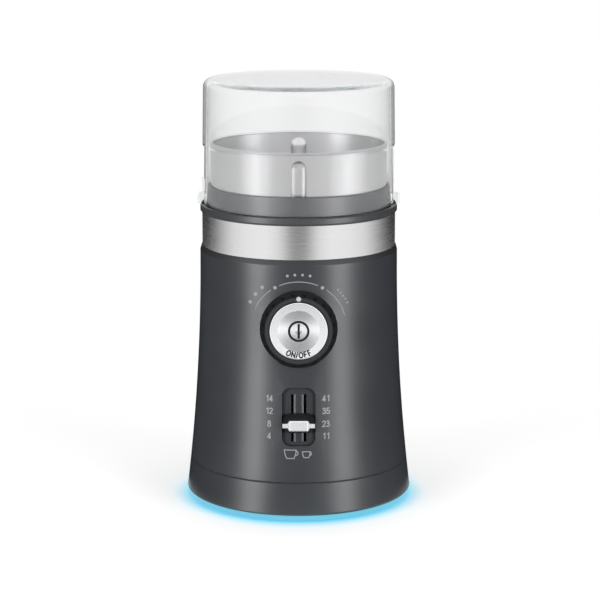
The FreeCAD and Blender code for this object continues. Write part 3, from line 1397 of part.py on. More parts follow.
def slide_potentiometer():
    half = POT_W / 2
    body = block(-half, half, POT_LOW, POT_HIGH, -POT_BACK, -POT_FRONT)
    ends = [
        block(-half, half, POT_LOW, POT_INNER_LOW, -POT_BACK, -TRACK_BACK),
        block(-half, half, POT_INNER_HIGH, POT_HIGH, -POT_BACK, -TRACK_BACK),
    ]
    slot = block(-POT_SLOT_W / 2, POT_SLOT_W / 2, POT_INNER_LOW, POT_INNER_HIGH,
                 -POT_FRONT - POT_SLOT_DEPTH, -POT_FRONT + RUN_GAP)
    return on_wall(body.fuse(ends).cut(slot).removeSplitter())


PIECES = (
    main_housing, base_ring, bottom_plate, light_ring, led_board, leds, rubber_feet, base_screws,
    cord_gland, terminal_block, top_collar, steel_band, collar_screws, interlock_switch,
    interlock_plunger, grinding_bowl, bowl_base, spindle_bush, spindle_seal, lid, blade_spindle,
    grinding_blade, blade_nut, drive_coupler, driven_coupler, motor_upper_bracket,
    motor_lower_bracket, stator_core, field_coils, motor_bolts, upper_bearing, lower_bearing,
    brush_holders, carbon_brushes, brush_springs, motor_mounts, motor_screws, motor_shaft,
    armature_core, armature_winding, commutator, cooling_fan, grind_dial, dial_pointer, dial_wiper,
    grind_selector, power_button, button_stem, button_guide, button_spring, power_switch,
    control_board, board_screws, slider_track, slider_carriage, slider_handle, slider_bridge,
    slide_potentiometer,
)


def main():
    os.makedirs("parts", exist_ok=True)
    for piece in PIECES:
        piece().exportStep("parts/" + piece.__name__ + ".step")


main()
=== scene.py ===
"""Finishes, printed marks and a plain studio for the coffee grinder."""

from math import cos, pi, radians, sin

import bmesh
import bpy
from bpy.props import FloatProperty, FloatVectorProperty, PointerProperty
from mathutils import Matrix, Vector
from mathutils.bvhtree import BVHTree


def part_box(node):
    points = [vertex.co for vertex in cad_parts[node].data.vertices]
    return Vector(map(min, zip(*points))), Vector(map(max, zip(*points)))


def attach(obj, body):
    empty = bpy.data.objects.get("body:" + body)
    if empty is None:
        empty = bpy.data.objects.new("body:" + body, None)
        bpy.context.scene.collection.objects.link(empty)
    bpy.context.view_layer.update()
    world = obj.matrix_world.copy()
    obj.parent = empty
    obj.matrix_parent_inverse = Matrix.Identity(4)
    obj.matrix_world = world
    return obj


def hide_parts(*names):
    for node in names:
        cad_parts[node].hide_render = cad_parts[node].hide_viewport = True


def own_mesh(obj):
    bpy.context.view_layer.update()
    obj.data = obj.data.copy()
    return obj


bl_info = {
    "name": "Coffee grinder",
    "version": (1, 0, 0),
    "blender": (4, 5, 0),
    "location": "View3D > Sidebar > Grinder",
    "description": "Gives the coffee grinder its finishes, printed marks and studio",
    "category": "Object",
}

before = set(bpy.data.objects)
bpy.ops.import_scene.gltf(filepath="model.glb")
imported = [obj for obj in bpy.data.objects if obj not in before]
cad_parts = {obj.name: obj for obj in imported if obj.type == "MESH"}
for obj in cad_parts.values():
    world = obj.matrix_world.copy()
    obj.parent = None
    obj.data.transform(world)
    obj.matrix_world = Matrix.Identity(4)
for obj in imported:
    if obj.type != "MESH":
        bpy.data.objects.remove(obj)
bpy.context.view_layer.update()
MM = 0.001
INWARD = Vector((0.0, 1.0, 0.0))

# Sizes of the solids that a finish follows
RIM_BEVEL = 2.7 * MM
DIAL_FACE_RADIUS = 17.9 * MM
BUTTON_DISH_RADIUS = 11.2 * MM
BUTTON_DISH_DEPTH = 0.5 * MM

# A printed line is cut into steps of about this length, so that it follows a curved wall
PRINT_STEP = 0.8 * MM

# Half a line's width is divided by no less than this at a corner, so that no sharp corner runs out
LEAST_MITRE = 0.4


# Values that a user would change

def srgb(red, green, blue):
    """Linear colour from 8 bit display values."""
    levels = [value / 255 for value in (red, green, blue)]
    return tuple(v / 12.92 if v <= 0.04045 else ((v + 0.055) / 1.055) ** 2.4 for v in levels)


def colour(name, description, red, green, blue):
    """Colour property with its default in display values."""
    return FloatVectorProperty(name=name, description=description, subtype="COLOR", size=3,
                               min=0.0, max=1.0, default=srgb(red, green, blue))


def length(name, description, millimetres):
    """Length property with its default in millimetres."""
    return FloatProperty(name=name, description=description, subtype="DISTANCE", unit="LENGTH",
                         min=0.0, precision=5, default=millimetres * MM)


def power(name, description, watts):
    """Power property of a lamp."""
    return FloatProperty(name=name, description=description, subtype="POWER", unit="POWER",
                         min=0.0, default=watts)


def share(name, description, default, top=1.0):
    """Property without a unit."""
    return FloatProperty(name=name, description=description, subtype="FACTOR", min=0.0, max=top,
                         default=default)


class GrinderFinishes(bpy.types.PropertyGroup):
    """Colours and roughness of the materials"""
    charcoal: colour("Charcoal", "Shell, skirt and plate of the slider", 44, 46, 49)
    charcoal_roughness: share("Charcoal roughness", "Roughness of shell and skirt", 0.34)
    black: colour("Black", "Collar, dial, bowl base, floor plate, carriage, stem and switches", 38, 39, 41)
    steel: colour("Steel", "Band, bowl, blade, shafts, core, springs and screws", 209, 209, 210)
    silver: colour("Silver", "Button, handle of the slider and motor bracket", 248, 249, 251)
    clear: colour("Clear", "Tint of the lid where it is seen along its walls", 200, 203, 204)
    glow: colour("Glow", "Light under the skirt", 117, 205, 229)
    ink: colour("Pale ink", "Marks on the shell", 186, 188, 191)
    dark_ink: colour("Dark ink", "Marks on the button", 44, 46, 49)
    pointer: colour("Pointer", "Line on the dial", 222, 223, 224)
    rubber: colour("Rubber", "Feet, seal, gland and motor mounts", 30, 30, 31)
    nylon: colour("Nylon", "Couplers, fan, lower bracket, guides and terminals", 222, 214, 192)
    copper: colour("Copper", "Windings and commutator", 190, 104, 58)
    brass: colour("Brass", "Bush, contact ring and brush holders", 198, 164, 92)
    carbon: colour("Carbon", "Brushes of the motor", 34, 34, 36)
    board: colour("Board", "Circuit boards", 22, 92, 58)


class GrinderMarks(bpy.types.PropertyGroup):
    """Sizes of the printed marks"""
    ink_rise: length("Ink rise", "How far the ink stands on the surface", 0.05)
    line: length("Line", "Width of the thin lines", 0.42)
    number_height: length("Number height", "Height of the numbers at the slider", 3.4)
    number_line: length("Number line", "Width of the numbers' strokes", 0.52)
    digit_step: length("Digit step", "Distance from one digit of a number to the next", 2.1)
    word_height: length("Word height", "Height of the letters on the button", 3.2)
    word_line: length("Word line", "Width of the letters' strokes", 0.68)
    word_gap: length("Word gap", "Gap from one letter to the next", 0.62)
    word_ring: length("Word ring", "Radius on which the button's letters stand", 12.9)
    sign_ring: length("Sign ring", "Radius of the power sign's ring", 5.1)
    sign_line: length("Sign line", "Width of the power sign's line", 1.2)
    sign_bar: length("Sign bar", "Half the length of the power sign's bar", 4.0)
    grain_ring: length("Grain ring", "Radius of the grain marks round the dial", 29.0)
    arc_ring: length("Arc ring", "Radius of the thin arcs round the dial", 25.2)
    stop_dot: length("Stop dot", "Radius of the dots between the arcs", 0.95)


class GrinderStudio(bpy.types.PropertyGroup):
    """Light and floor"""
    lamp_power: power("Side lamp", "Power of each side lamp", 10.0)
    top_power: power("Top lamp", "Power of the lamp above", 8.0)
    room: share("Room light", "Strength of the room's own light", 0.3)
    strip_power: power("Strip lamp", "Power of the strip lamp left of the shell", 14.1)
    bowl_power: power("Bowl lamp", "Power of the lamp right of the bowl", 10.5)
    panel: share("Panel", "Brightness of the white panels in reflections", 1.3, 4.0)
    floor: colour("Floor", "Plain pale floor", 240, 240, 240)


# Node helpers

def blank(name):
    """New material with its node tree and shader."""
    made = bpy.data.materials.new(name)
    made.use_nodes = True
    return made, made.node_tree, made.node_tree.nodes["Principled BSDF"]


def add(tree, kind, values=None, **settings):
    """Add a node; a value that is a socket is linked."""
    node = tree.nodes.new("ShaderNode" + kind)
    for key, value in settings.items():
        setattr(node, key, value)
    for key, value in (values or {}).items():
        if isinstance(value, bpy.types.NodeSocket):
            tree.links.new(value, node.inputs[key])
        else:
            node.inputs[key].default_value = value
    return node


def feed(tree, shader, **sockets):
    """Set or link sockets of a shader; an underscore stands for a space."""
    for key, value in sockets.items():
        socket = shader.inputs[key.replace("_", " ")]
        if isinstance(value, bpy.types.NodeSocket):
            tree.links.new(value, socket)
        else:
            socket.default_value = value


def ramp(tree, factor, *stops):
    """Colour ramp through (position, colour) stops."""
    node = add(tree, "ValToRGB", {"Fac": factor})
    elements = node.color_ramp.elements
    while len(elements) < len(stops):
        elements.new(1.0)
    for element, (position, tint) in zip(elements, stops):
        element.position = position
        element.color = (*tint, 1.0)
    return node.outputs["Color"]


def spread(tree, value, low, high, start=0.3, end=0.7):
    """Map a value from start and end to low and high."""
    return add(tree, "MapRange", {"Value": value, "From Min": start, "From Max": end,
                                  "To Min": low, "To Max": high}).outputs["Result"]


def noise(tree, place, scale, detail=2.0):
    """Noise at a number of cells per metre."""
    return add(tree, "TexNoise", {"Vector": place, "Scale": scale, "Detail": detail}).outputs["Fac"]


def maths(tree, operation, first, second=0.0):
    """One sum of two values."""
    return add(tree, "Math", {0: first, 1: second}, operation=operation).outputs["Value"]


def relief(tree, height, depth, edge=0.0):
    """Normal with a relief of the given depth, and rounded edges where edge is a radius."""
    bump = add(tree, "Bump", {"Distance": depth, "Height": height})
    if edge:
        rounded = add(tree, "Bevel", {"Radius": edge}, samples=4)
        tree.links.new(rounded.outputs["Normal"], bump.inputs["Normal"])
    return bump.outputs["Normal"]


def length_of(tree, vector):
    """Length of a vector."""
    return add(tree, "VectorMath", {0: vector}, operation="LENGTH").outputs["Value"]


def blended(tree, factor, first, second):
    """Colour that goes from a first socket to a second, fixed colour."""
    both = add(tree, "MixRGB", {"Fac": factor, "Color1": first, "Color2": (*second, 1.0)})
    return both.outputs["Color"]


def off_axis(tree, place, x, z):
    """Distance from an axis that runs front to back."""
    axis = add(tree, "SeparateXYZ", {"Vector": place}).outputs
    flat = add(tree, "CombineXYZ", {"X": maths(tree, "SUBTRACT", axis["X"], x),
                                    "Z": maths(tree, "SUBTRACT", axis["Z"], z)}).outputs["Vector"]
    return length_of(tree, flat)


def tone(tint, factor):
    """Colour made lighter or darker."""
    return tuple(min(1.0, value * factor) for value in tint)


# Finishes

def moulded(name, tint, roughness, grain=0.3 * MM, ior=1.5, depth=0.006 * MM, rim=None, face=None):
    """Moulded plastic with a fine grain; above a rim or outside the face of a dial it is matt and darkened
    by painted shade.
    """
    made, tree, shader = blank(name)
    place = add(tree, "TexCoord").outputs["Object"]
    broad = noise(tree, place, scale=28.0, detail=4.0)
    shade = ramp(tree, broad, (0.3, tone(tint, 0.94)), (0.7, tone(tint, 1.06)))
    gloss = spread(tree, broad, roughness - 0.03, roughness + 0.03)
    if rim or face:
        if rim:
            reach, limit = add(tree, "SeparateXYZ", {"Vector": place}).outputs["Z"], rim
        else:
            x, z, limit = face
            reach = off_axis(tree, place, x, z)
        # Painted shade: beyond the limit the colour is darkened to this share of the tint, as if the faces
        # there lay in shade.
        soft, dark, matt = 0.2 * MM, 0.32, 0.3
        edge = spread(tree, reach, 0.0, 1.0, limit - soft, limit + soft)
        shade = blended(tree, edge, shade, tone(tint, dark))
        gloss = maths(tree, "ADD", gloss, maths(tree, "MULTIPLY", edge, matt))
    feed(tree, shader, IOR=ior, Base_Color=shade, Roughness=gloss,
         Normal=relief(tree, noise(tree, place, scale=1.0 / grain), depth, edge=0.25 * MM))
    return made


def brushed(name, tint, roughness, lines=0.11 * MM, bite=1.0, metallic=1.0, painted_light_inside=None):
    """Steel brushed round its axis, whose lines bite more or less, with painted light on its inner faces
    where given.
    """
    made, tree, shader = blank(name)
    place = add(tree, "TexCoord").outputs["Object"]
    axis = add(tree, "SeparateXYZ", {"Vector": place}).outputs
    flat = add(tree, "CombineXYZ", {"X": axis["X"], "Y": axis["Y"]}).outputs["Vector"]
    across = maths(tree, "MULTIPLY", maths(tree, "ADD", axis["Z"], length_of(tree, flat)), 1.0 / lines)
    runs_per_metre = 35.0
    brush = add(tree, "CombineXYZ", {"X": maths(tree, "MULTIPLY", axis["X"], runs_per_metre),
                                     "Y": maths(tree, "MULTIPLY", axis["Y"], runs_per_metre),
                                     "Z": across}).outputs["Vector"]
    streak = noise(tree, brush, scale=1.0, detail=3.0)
    turn = add(tree, "Tangent", direction_type="RADIAL", axis="Z").outputs["Tangent"]
    dulled, groove = 1.0 - 0.07 * bite, 0.004 * MM * bite
    glossier, rougher = roughness - 0.05 * bite, roughness + 0.06 * bite
    shade = ramp(tree, streak, (0.3, tone(tint, dulled)), (0.7, tint))
    # Painted light: faces that look towards the axis take a paler copy of the steel.
    if painted_light_inside:
        facing = add(tree, "TexCoord").outputs["Normal"]
        outward = add(tree, "VectorMath", {0: facing, 1: flat}, operation="DOT_PRODUCT").outputs["Value"]
        within = spread(tree, outward, 1.0, 0.0, -0.01, 0.01)
        shade = blended(tree, within, shade, painted_light_inside)
    feed(tree, shader, Metallic=metallic, Anisotropic=0.55, Anisotropic_Rotation=0.25, Tangent=turn,
         Base_Color=shade, Roughness=spread(tree, streak, glossier, rougher),
         Normal=relief(tree, streak, groove, edge=0.2 * MM))
    return made


def satin_paint(name, tint, roughness, dish=None):
    """Silver lacquer with fine metal flakes, which deepens a dish where one is given."""
    made, tree, shader = blank(name)
    place = add(tree, "TexCoord").outputs["Object"]
    flake = noise(tree, place, scale=5000.0)
    height, depth = flake, 0.003 * MM
    if dish:
        x, z, radius, hollow = dish
        outward = maths(tree, "DIVIDE", off_axis(tree, place, x, z), radius)
        bowed = maths(tree, "POWER", maths(tree, "MINIMUM", outward, 1.0), 2.0)
        grain = maths(tree, "MULTIPLY", flake, depth / hollow)
        height, depth = maths(tree, "ADD", bowed, grain), hollow
    feed(tree, shader, Metallic=0.85,
         Base_Color=ramp(tree, flake, (0.3, tone(tint, 0.94)), (0.7, tint)),
         Roughness=spread(tree, flake, roughness - 0.05, roughness + 0.05),
         Normal=relief(tree, height, depth, edge=0.2 * MM))
    return made


def bare_metal(name, tint, roughness, grain=0.6 * MM):
    """Plain metal with a faint uneven gloss."""
    made, tree, shader = blank(name)
    place = add(tree, "TexCoord").outputs["Object"]
    cloud = noise(tree, place, scale=1.0 / grain, detail=3.0)
    feed(tree, shader, Metallic=1.0,
         Base_Color=ramp(tree, cloud, (0.3, tone(tint, 0.92)), (0.7, tint)),
         Roughness=spread(tree, cloud, roughness - 0.04, roughness + 0.06),
         Normal=relief(tree, cloud, 0.004 * MM, edge=0.15 * MM))
    return made


def clear_moulding(name, tint):
    """Clear plastic that greys along its edges, with the faint waves of a moulded wall."""
    made, tree, shader = blank(name)
    place = add(tree, "TexCoord").outputs["Object"]
    feed(tree, shader, Base_Color=(1.0, 1.0, 1.0, 1.0), Roughness=0.015, IOR=1.01,
         Transmission_Weight=1.0, Coat_Weight=1.0, Coat_Roughness=0.02, Coat_IOR=1.5,
         Normal=relief(tree, noise(tree, place, scale=22.0), 0.02 * MM))
    grey = add(tree, "VolumeAbsorption", {"Color": (*tint, 1.0), "Density": 48.0}).outputs["Volume"]
    tree.links.new(grey, tree.nodes["Material Output"].inputs["Volume"])
    return made


def lit(name, tint, strength):
    """Milky plastic lit from inside."""
    made, tree, shader = blank(name)
    place = add(tree, "TexCoord").outputs["Object"]
    milk = noise(tree, place, scale=180.0, detail=3.0)
    feed(tree, shader, Base_Color=ramp(tree, milk, (0.3, tone(tint, 0.4)), (0.7, tone(tint, 0.45))),
         Roughness=0.35, Emission_Color=(*tint, 1.0), Emission_Strength=strength,
         Normal=relief(tree, milk, 0.02 * MM))
    return made


def soft_rubber(name, tint):
    """Matt rubber with a dusty bloom."""
    made, tree, shader = blank(name)
    place = add(tree, "TexCoord").outputs["Object"]
    bloom = noise(tree, place, scale=120.0, detail=5.0)
    feed(tree, shader, Base_Color=ramp(tree, bloom, (0.35, tint), (0.75, tone(tint, 1.5))),
         Roughness=spread(tree, bloom, 0.62, 0.78),
         Normal=relief(tree, noise(tree, place, scale=2500.0), 0.02 * MM, edge=0.3 * MM))
    return made


def wound(name, tint):
    """Varnished wire laid side by side."""
    made, tree, shader = blank(name)
    place = add(tree, "TexCoord").outputs["Object"]
    wires = add(tree, "TexWave", {"Vector": place, "Scale": 700.0, "Distortion": 1.5, "Detail": 1.0},
                bands_direction="DIAGONAL").outputs["Fac"]
    feed(tree, shader, Metallic=1.0, Roughness=0.32, Coat_Weight=0.4,
         Base_Color=ramp(tree, wires, (0.0, tone(tint, 0.45)), (0.6, tint)),
         Normal=relief(tree, wires, 0.15 * MM))
    return made


def laminated(name, tint):
    """Stack of thin sheets, seen on its edges."""
    made, tree, shader = blank(name)
    place = add(tree, "TexCoord").outputs["Object"]
    sheets = add(tree, "TexWave", {"Vector": place, "Scale": 320.0}, bands_direction="Z").outputs["Fac"]
    feed(tree, shader, Metallic=1.0, Base_Color=ramp(tree, sheets, (0.1, tone(tint, 0.5)), (0.5, tint)),
         Roughness=spread(tree, noise(tree, place, scale=300.0), 0.4, 0.55),
         Normal=relief(tree, sheets, 0.05 * MM))
    return made


def masked_board(name, tint):
    """Circuit board with copper runs under a green mask."""
    made, tree, shader = blank(name)
    place = add(tree, "TexCoord").outputs["Object"]
    runs = add(tree, "TexBrick", {"Vector": place, "Scale": 90.0, "Mortar Size": 0.035}).outputs["Fac"]
    feed(tree, shader, Base_Color=ramp(tree, runs, (0.2, tint), (0.8, tone(tint, 1.8))),
         Roughness=0.3, Coat_Weight=0.3, Normal=relief(tree, runs, 0.03 * MM))
    return made


def printed(name, tint):
    """Ink with a slightly uneven cover."""
    made, tree, shader = blank(name)
    place = add(tree, "TexCoord").outputs["Object"]
    cover = noise(tree, place, scale=1800.0, detail=3.0)
    feed(tree, shader, Base_Color=ramp(tree, cover, (0.3, tone(tint, 0.9)), (0.7, tint)),
         Roughness=0.5, Normal=relief(tree, cover, 0.005 * MM))
    return made


def dress(made, *nodes):
    """Give frame nodes a finish."""
    for name in nodes:
        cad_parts[name].material_slots[0].material = made


# Printed marks

def surface(node):
    """Search tree over a frame node's faces."""
    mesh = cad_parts[node].data
    return BVHTree.FromPolygons([v.co.copy() for v in mesh.vertices],
                                [tuple(p.vertices) for p in mesh.polygons])


def strip(points, width, closed=False):
    """Flat band of the given width along points in a plane."""
    corners = [Vector(point) for point in points]
    ends = corners[1:] + corners[:1] if closed else corners[1:]
    path = []
    for corner, after in zip(corners, ends):
        parts = max(1, round((after - corner).length / PRINT_STEP))
        path += [corner.lerp(after, part / parts) for part in range(parts)]
    if not closed:
        path.append(corners[-1])
    count = len(path)
    left, right = [], []
    for index, point in enumerate(path):
        before = path[index - 1] if index or closed else point
        after = path[(index + 1) % count] if index < count - 1 or closed else point
        first = (point - before).normalized() if point != before else (after - point).normalized()
        second = (after - point).normalized() if after != point else first
        middle = (first + second).normalized()
        side = Vector((-middle.y, middle.x))
        reach = width / 2 / max(LEAST_MITRE, side.dot(Vector((-first.y, first.x))))
        left.append(point + side * reach)
        right.append(point - side * reach)
    faces = [(i, (i + 1) % count, (i + 1) % count + count, i + count)
             for i in range(count if closed else count - 1)]
    return left + right, faces


def off_centre(centre, radius, turn):
    """Point at a radius and an angle from the top, clockwise."""
    return centre[0] + radius * sin(turn), centre[1] + radius * cos(turn)


def arc(centre, radius, start, end, steps):
    """Points on an arc, with angles from the top and clockwise."""
    turns = [start + (end - start) * step / steps for step in range(steps + 1)]
    return [Vector(off_centre(centre, radius, turn)) for turn in turns]


def dot(centre, radius, steps=20):
    """Round mark."""
    return arc(centre, radius, 2 * pi, 2 * pi / steps, steps - 1), [tuple(range(steps))]


def oval(x, y, wide, high, steps=16):
    """Closed loop of a letter, as wide and high as given from its centre."""
    turns = [2 * pi * step / steps for step in range(steps)]
    loop = [(x + wide * sin(turn), y + high * cos(turn)) for turn in turns]
    return loop + loop[:1]


# Strokes of each letter in shares of its height; a stroke that ends where it starts is closed
LETTERS = {
    "1": ([(0.06, 0.74), (0.28, 0.93), (0.28, 0.0)],),
    "2": ([(0.04, 0.7), (0.09, 0.86), (0.2, 0.94), (0.34, 0.94), (0.46, 0.85), (0.49, 0.7),
           (0.42, 0.52), (0.06, 0.07), (0.54, 0.07)],),
    "3": ([(0.04, 0.77), (0.13, 0.9), (0.28, 0.94), (0.42, 0.88), (0.46, 0.73), (0.4, 0.59),
           (0.22, 0.53), (0.42, 0.47), (0.5, 0.29), (0.43, 0.13), (0.28, 0.06), (0.12, 0.1),
           (0.04, 0.24)],),
    "4": ([(0.4, 0.0), (0.4, 0.92), (0.05, 0.27), (0.56, 0.27)],),
    "5": ([(0.48, 0.93), (0.13, 0.93), (0.09, 0.5), (0.24, 0.58), (0.38, 0.55), (0.49, 0.42),
           (0.49, 0.25), (0.39, 0.1), (0.25, 0.06), (0.11, 0.11), (0.04, 0.24)],),
    "8": (oval(0.27, 0.73, 0.19, 0.21), oval(0.27, 0.28, 0.23, 0.23)),
    "O": (oval(0.36, 0.5, 0.31, 0.44),),
    "N": ([(0.07, 0.0), (0.07, 0.93), (0.57, 0.07), (0.57, 1.0)],),
    "F": ([(0.07, 0.0), (0.07, 0.93), (0.5, 0.93)], [(0.07, 0.5), (0.44, 0.5)]),
    "/": ([(0.03, -0.03), (0.27, 1.03)],),
}


def written(letter, height, line):
    """Strips of one letter, centred, and its width."""
    strokes = LETTERS[letter]
    wide = max(x for stroke in strokes for x, _ in stroke)
    shapes = []
    for stroke in strokes:
        closed = stroke[0] == stroke[-1]
        points = [((x - wide / 2) * height, (y - 0.5) * height) for x, y in stroke]
        shapes.append(strip(points[:-1] if closed else points, line, closed))
    return shapes, wide * height


def cup(x, z, width, height, line):
    """Outline of a cup with its handle on the right."""
    half, foot, top = width / 2, width * 0.31, z + height / 2
    side = [(x - half, top), (x - half * 0.9, z), (x - foot, z - height / 2)]
    outline = side + [(2 * x - px, pz) for px, pz in reversed(side)]
    ear = arc((x + half * 0.92, z + height * 0.12), height * 0.26, radians(-10), radians(190), 10)
    return [strip(outline, line, True), strip(ear, line)]


def moved(shape, centre, turn=0.0):
    """Shape turned clockwise and moved to a centre."""
    spots, faces = shape
    centre = Vector(centre)
    return [Vector((s.x * cos(turn) + s.y * sin(turn), s.y * cos(turn) - s.x * sin(turn))) + centre
            for s in spots], faces


def mark(name, shapes, skin, rise, ink, body):
    """Lay flat shapes, given in x and z, on the front of a surface as a thin film of ink."""
    film = bmesh.new()
    for spots, faces in shapes:
        made = []
        for spot in spots:
            hit, normal, _, _ = skin.ray_cast(Vector((spot.x, 0.0, spot.y)) - INWARD, INWARD)
            if hit is None:
                raise RuntimeError(name + " lies beside its surface")
            made.append(film.verts.new(hit - normal * rise))
        for face in faces:
            film.faces.new([made[index] for index in face])
    bmesh.ops.remove_doubles(film, verts=film.verts, dist=0.001 * MM)
    top = bmesh.ops.extrude_face_region(film, geom=film.faces[:])["geom"]
    film.normal_update()
    for vert in [item for item in top if isinstance(item, bmesh.types.BMVert)]:
        hit, normal, _, _ = skin.find_nearest(vert.co)
        vert.co = hit + normal * rise
    bmesh.ops.recalc_face_normals(film, faces=film.faces)
    mesh = bpy.data.meshes.new(name)
    film.to_mesh(mesh)
    film.free()
    mesh.materials.append(ink)
    piece = bpy.data.objects.new(name, mesh)
    bpy.context.scene.collection.objects.link(piece)
    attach(piece, body)


def finishes(context):
    """Colours of the materials."""
    return context.scene.grinder_finishes


def marks(context):
    """Sizes of the marks."""
    return context.scene.grinder_marks


def front_centre(node):
    """Middle of a frame node in x and z."""
    low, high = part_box(node)
    return (low.x + high.x) / 2, (low.z + high.z) / 2


# Pieces

class GRINDER_OT_shell(bpy.types.Operator):
    """Finish the shell, skirt, floor plate, feet and cord gland"""
    bl_idname = "grinder.shell"
    bl_label = "Shell and skirt"

    def execute(self, context):
        look = finishes(context)
        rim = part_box("main_housing")[1].z - RIM_BEVEL
        # Painted shade: the bevel at the top of the shell is darkened.
        dress(moulded("charcoal_satin", look.charcoal, look.charcoal_roughness, ior=1.6, rim=rim),
              "main_housing", "base_ring")
        dress(moulded("black_floor_plate", look.black, roughness=0.5, grain=0.8 * MM), "bottom_plate")
        dress(soft_rubber("black_rubber", look.rubber), "rubber_feet", "cord_gland")
        dress(bare_metal("zinc_screws", tone(look.steel, 0.8), roughness=0.3), "base_screws")
        return {"FINISHED"}


class GRINDER_OT_collar(bpy.types.Operator):
    """Finish the collar, the steel band and the lid switch's plunger"""
    bl_idname = "grinder.collar"
    bl_label = "Collar and band"

    def execute(self, context):
        look = finishes(context)
        dress(moulded("black_collar", tone(look.black, 1.75), roughness=0.4, depth=0.0), "top_collar")
        dress(brushed("brushed_band", look.steel, roughness=0.24), "steel_band")
        dress(moulded("plunger_nylon", look.nylon, roughness=0.4), "interlock_plunger")
        dress(bare_metal("collar_screw_zinc", tone(look.steel, 0.8), roughness=0.3), "collar_screws")
        return {"FINISHED"}


class GRINDER_OT_bowl(bpy.types.Operator):
    """Finish the lift-out bowl with its base, bush, seal and blade"""
    bl_idname = "grinder.bowl"
    bl_label = "Bowl and blade"

    def execute(self, context):
        look = finishes(context)
        # Painted shade and light: the bowl's outside is a darker copy of the steel and its inside a paler
        # one.
        dress(brushed("satin_bowl", tone(look.steel, 0.78), roughness=0.26, lines=0.16 * MM, bite=0.2,
                      metallic=0.94, painted_light_inside=tone(look.steel, 1.28)), "grinding_bowl")
        dress(moulded("bowl_base_black", look.black, roughness=0.45), "bowl_base")
        dress(bare_metal("bush_brass", look.brass, roughness=0.25), "spindle_bush")
        dress(soft_rubber("seal_rubber", look.rubber), "spindle_seal")
        dress(bare_metal("ground_blade", look.steel, roughness=0.16, grain=1.5 * MM),
              "grinding_blade", "blade_nut", "blade_spindle")
        dress(moulded("driven_coupler_nylon", look.nylon, roughness=0.42), "driven_coupler")
        return {"FINISHED"}


class GRINDER_OT_lid(bpy.types.Operator):
    """Finish the clear lid"""
    bl_idname = "grinder.lid"
    bl_label = "Lid"

    def execute(self, context):
        dress(clear_moulding("clear_lid", finishes(context).clear), "lid")
        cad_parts["lid"].visible_shadow = False
        return {"FINISHED"}


# Grain marks round the dial: first angle, step in degrees, count and radius in millimetres
GRAIN_DOTS = ((-63, 10.5, 3, 0.95), (-12, 8, 4, 0.72), (46, 4.4, 5, 0.5))
GRAIN_ARCS = ((-67, -36), (-24, 24), (36, 76))
GRAIN_STOPS = (-30, 30)


def grain_print(size, centre):
    """Dots of three sizes round the dial, with thin arcs and stops inside them."""
    shapes = []
    for start, step, count, radius in GRAIN_DOTS:
        for index in range(count):
            spot = off_centre(centre, size.grain_ring, radians(start + step * index))
            shapes.append(dot(spot, radius * MM))
    for start, end in GRAIN_ARCS:
        shapes.append(strip(arc(centre, size.arc_ring, radians(start), radians(end), 16), size.line))
    for turn in GRAIN_STOPS:
        shapes.append(dot(off_centre(centre, size.arc_ring, radians(turn)), size.stop_dot))
    return shapes


class GRINDER_OT_dial(bpy.types.Operator):
    """Finish the grind dial and print the grain marks round it"""
    bl_idname = "grinder.dial"
    bl_label = "Grind dial"

    def execute(self, context):
        look, size = finishes(context), marks(context)
        dress(printed("pointer_white", look.pointer), "dial_pointer")
        dress(moulded("wiper_nylon", look.nylon, roughness=0.4), "dial_wiper")
        centre = front_centre("grind_dial")
        # Painted shade: outside its flat face, on its sloping side, the dial is darkened.
        dress(moulded("dial_black", tone(look.black, 3.0), roughness=0.36, grain=0.25 * MM,
                      face=(*centre, DIAL_FACE_RADIUS)), "grind_dial")
        mark("grain_marks", grain_print(size, centre), surface("main_housing"), size.ink_rise,
             printed("pale_grain_ink", look.ink), "housing")
        return {"FINISHED"}


def squashed_spring(finish):
    """Coil in place of the button's spring."""
    coil = bpy.data.objects.new("button_spring_coil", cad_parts["button_spring"].data.copy())
    bpy.context.scene.collection.objects.link(coil)
    coil.data.materials.clear()
    coil.data.materials.append(finish)
    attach(coil, "housing")
    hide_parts("button_spring")
    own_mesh(coil)


def button_print(size, centre):
    """Power sign in the middle of the button, and letters along its lower edge."""
    steps = 47
    ring = arc(centre, size.sign_ring, 0.0, 2 * pi * steps / (steps + 1), steps)
    bar = [(centre[0], centre[1] + end) for end in (-size.sign_bar, size.sign_bar)]
    shapes = [strip(ring, size.sign_line, True), strip(bar, size.sign_line)]
    letters = [written(letter, size.word_height, size.word_line) for letter in "ON/OFF"]
    run = -(sum(width for _, width in letters) + size.word_gap * (len(letters) - 1)) / 2
    for strokes, width in letters:
        turn = (run + width / 2) / size.word_ring
        spot = (centre[0] + size.word_ring * sin(turn), centre[1] - size.word_ring * cos(turn))
        shapes += [moved(stroke, spot, -turn) for stroke in strokes]
        run += width + size.word_gap
    return shapes


class GRINDER_OT_button(bpy.types.Operator):
    """Finish the button and print its power sign and letters"""
    bl_idname = "grinder.button"
    bl_label = "Power button"

    def execute(self, context):
        look, size = finishes(context), marks(context)
        dress(moulded("stem_black", look.black, roughness=0.45), "button_stem")
        dress(moulded("guide_nylon", look.nylon, roughness=0.42), "button_guide")
        squashed_spring(bare_metal("spring_steel", tone(look.steel, 0.8), roughness=0.2))
        centre = front_centre("power_button")
        dish = (*centre, BUTTON_DISH_RADIUS, BUTTON_DISH_DEPTH)
        dress(satin_paint("satin_button", look.silver, roughness=0.2, dish=dish), "power_button")
        mark("button_marks", button_print(size, centre), surface("power_button"), size.ink_rise,
             printed("button_ink", look.dark_ink), "button")
        return {"FINISHED"}


# Marks at the slider in millimetres: heights of the rows, columns of numbers, and cups by place and size
SLIDER_ROWS = (67.5, 60.7, 53.7, 47.1)
SLIDER_NUMBERS = ((-15.9, ("14", "12", "8", "4")), (14.6, ("41", "35", "23", "11")))
SLIDER_CUPS = ((-4.5, 37.6, 6.4, 4.6), (4.1, 37.4, 4.2, 3.2))


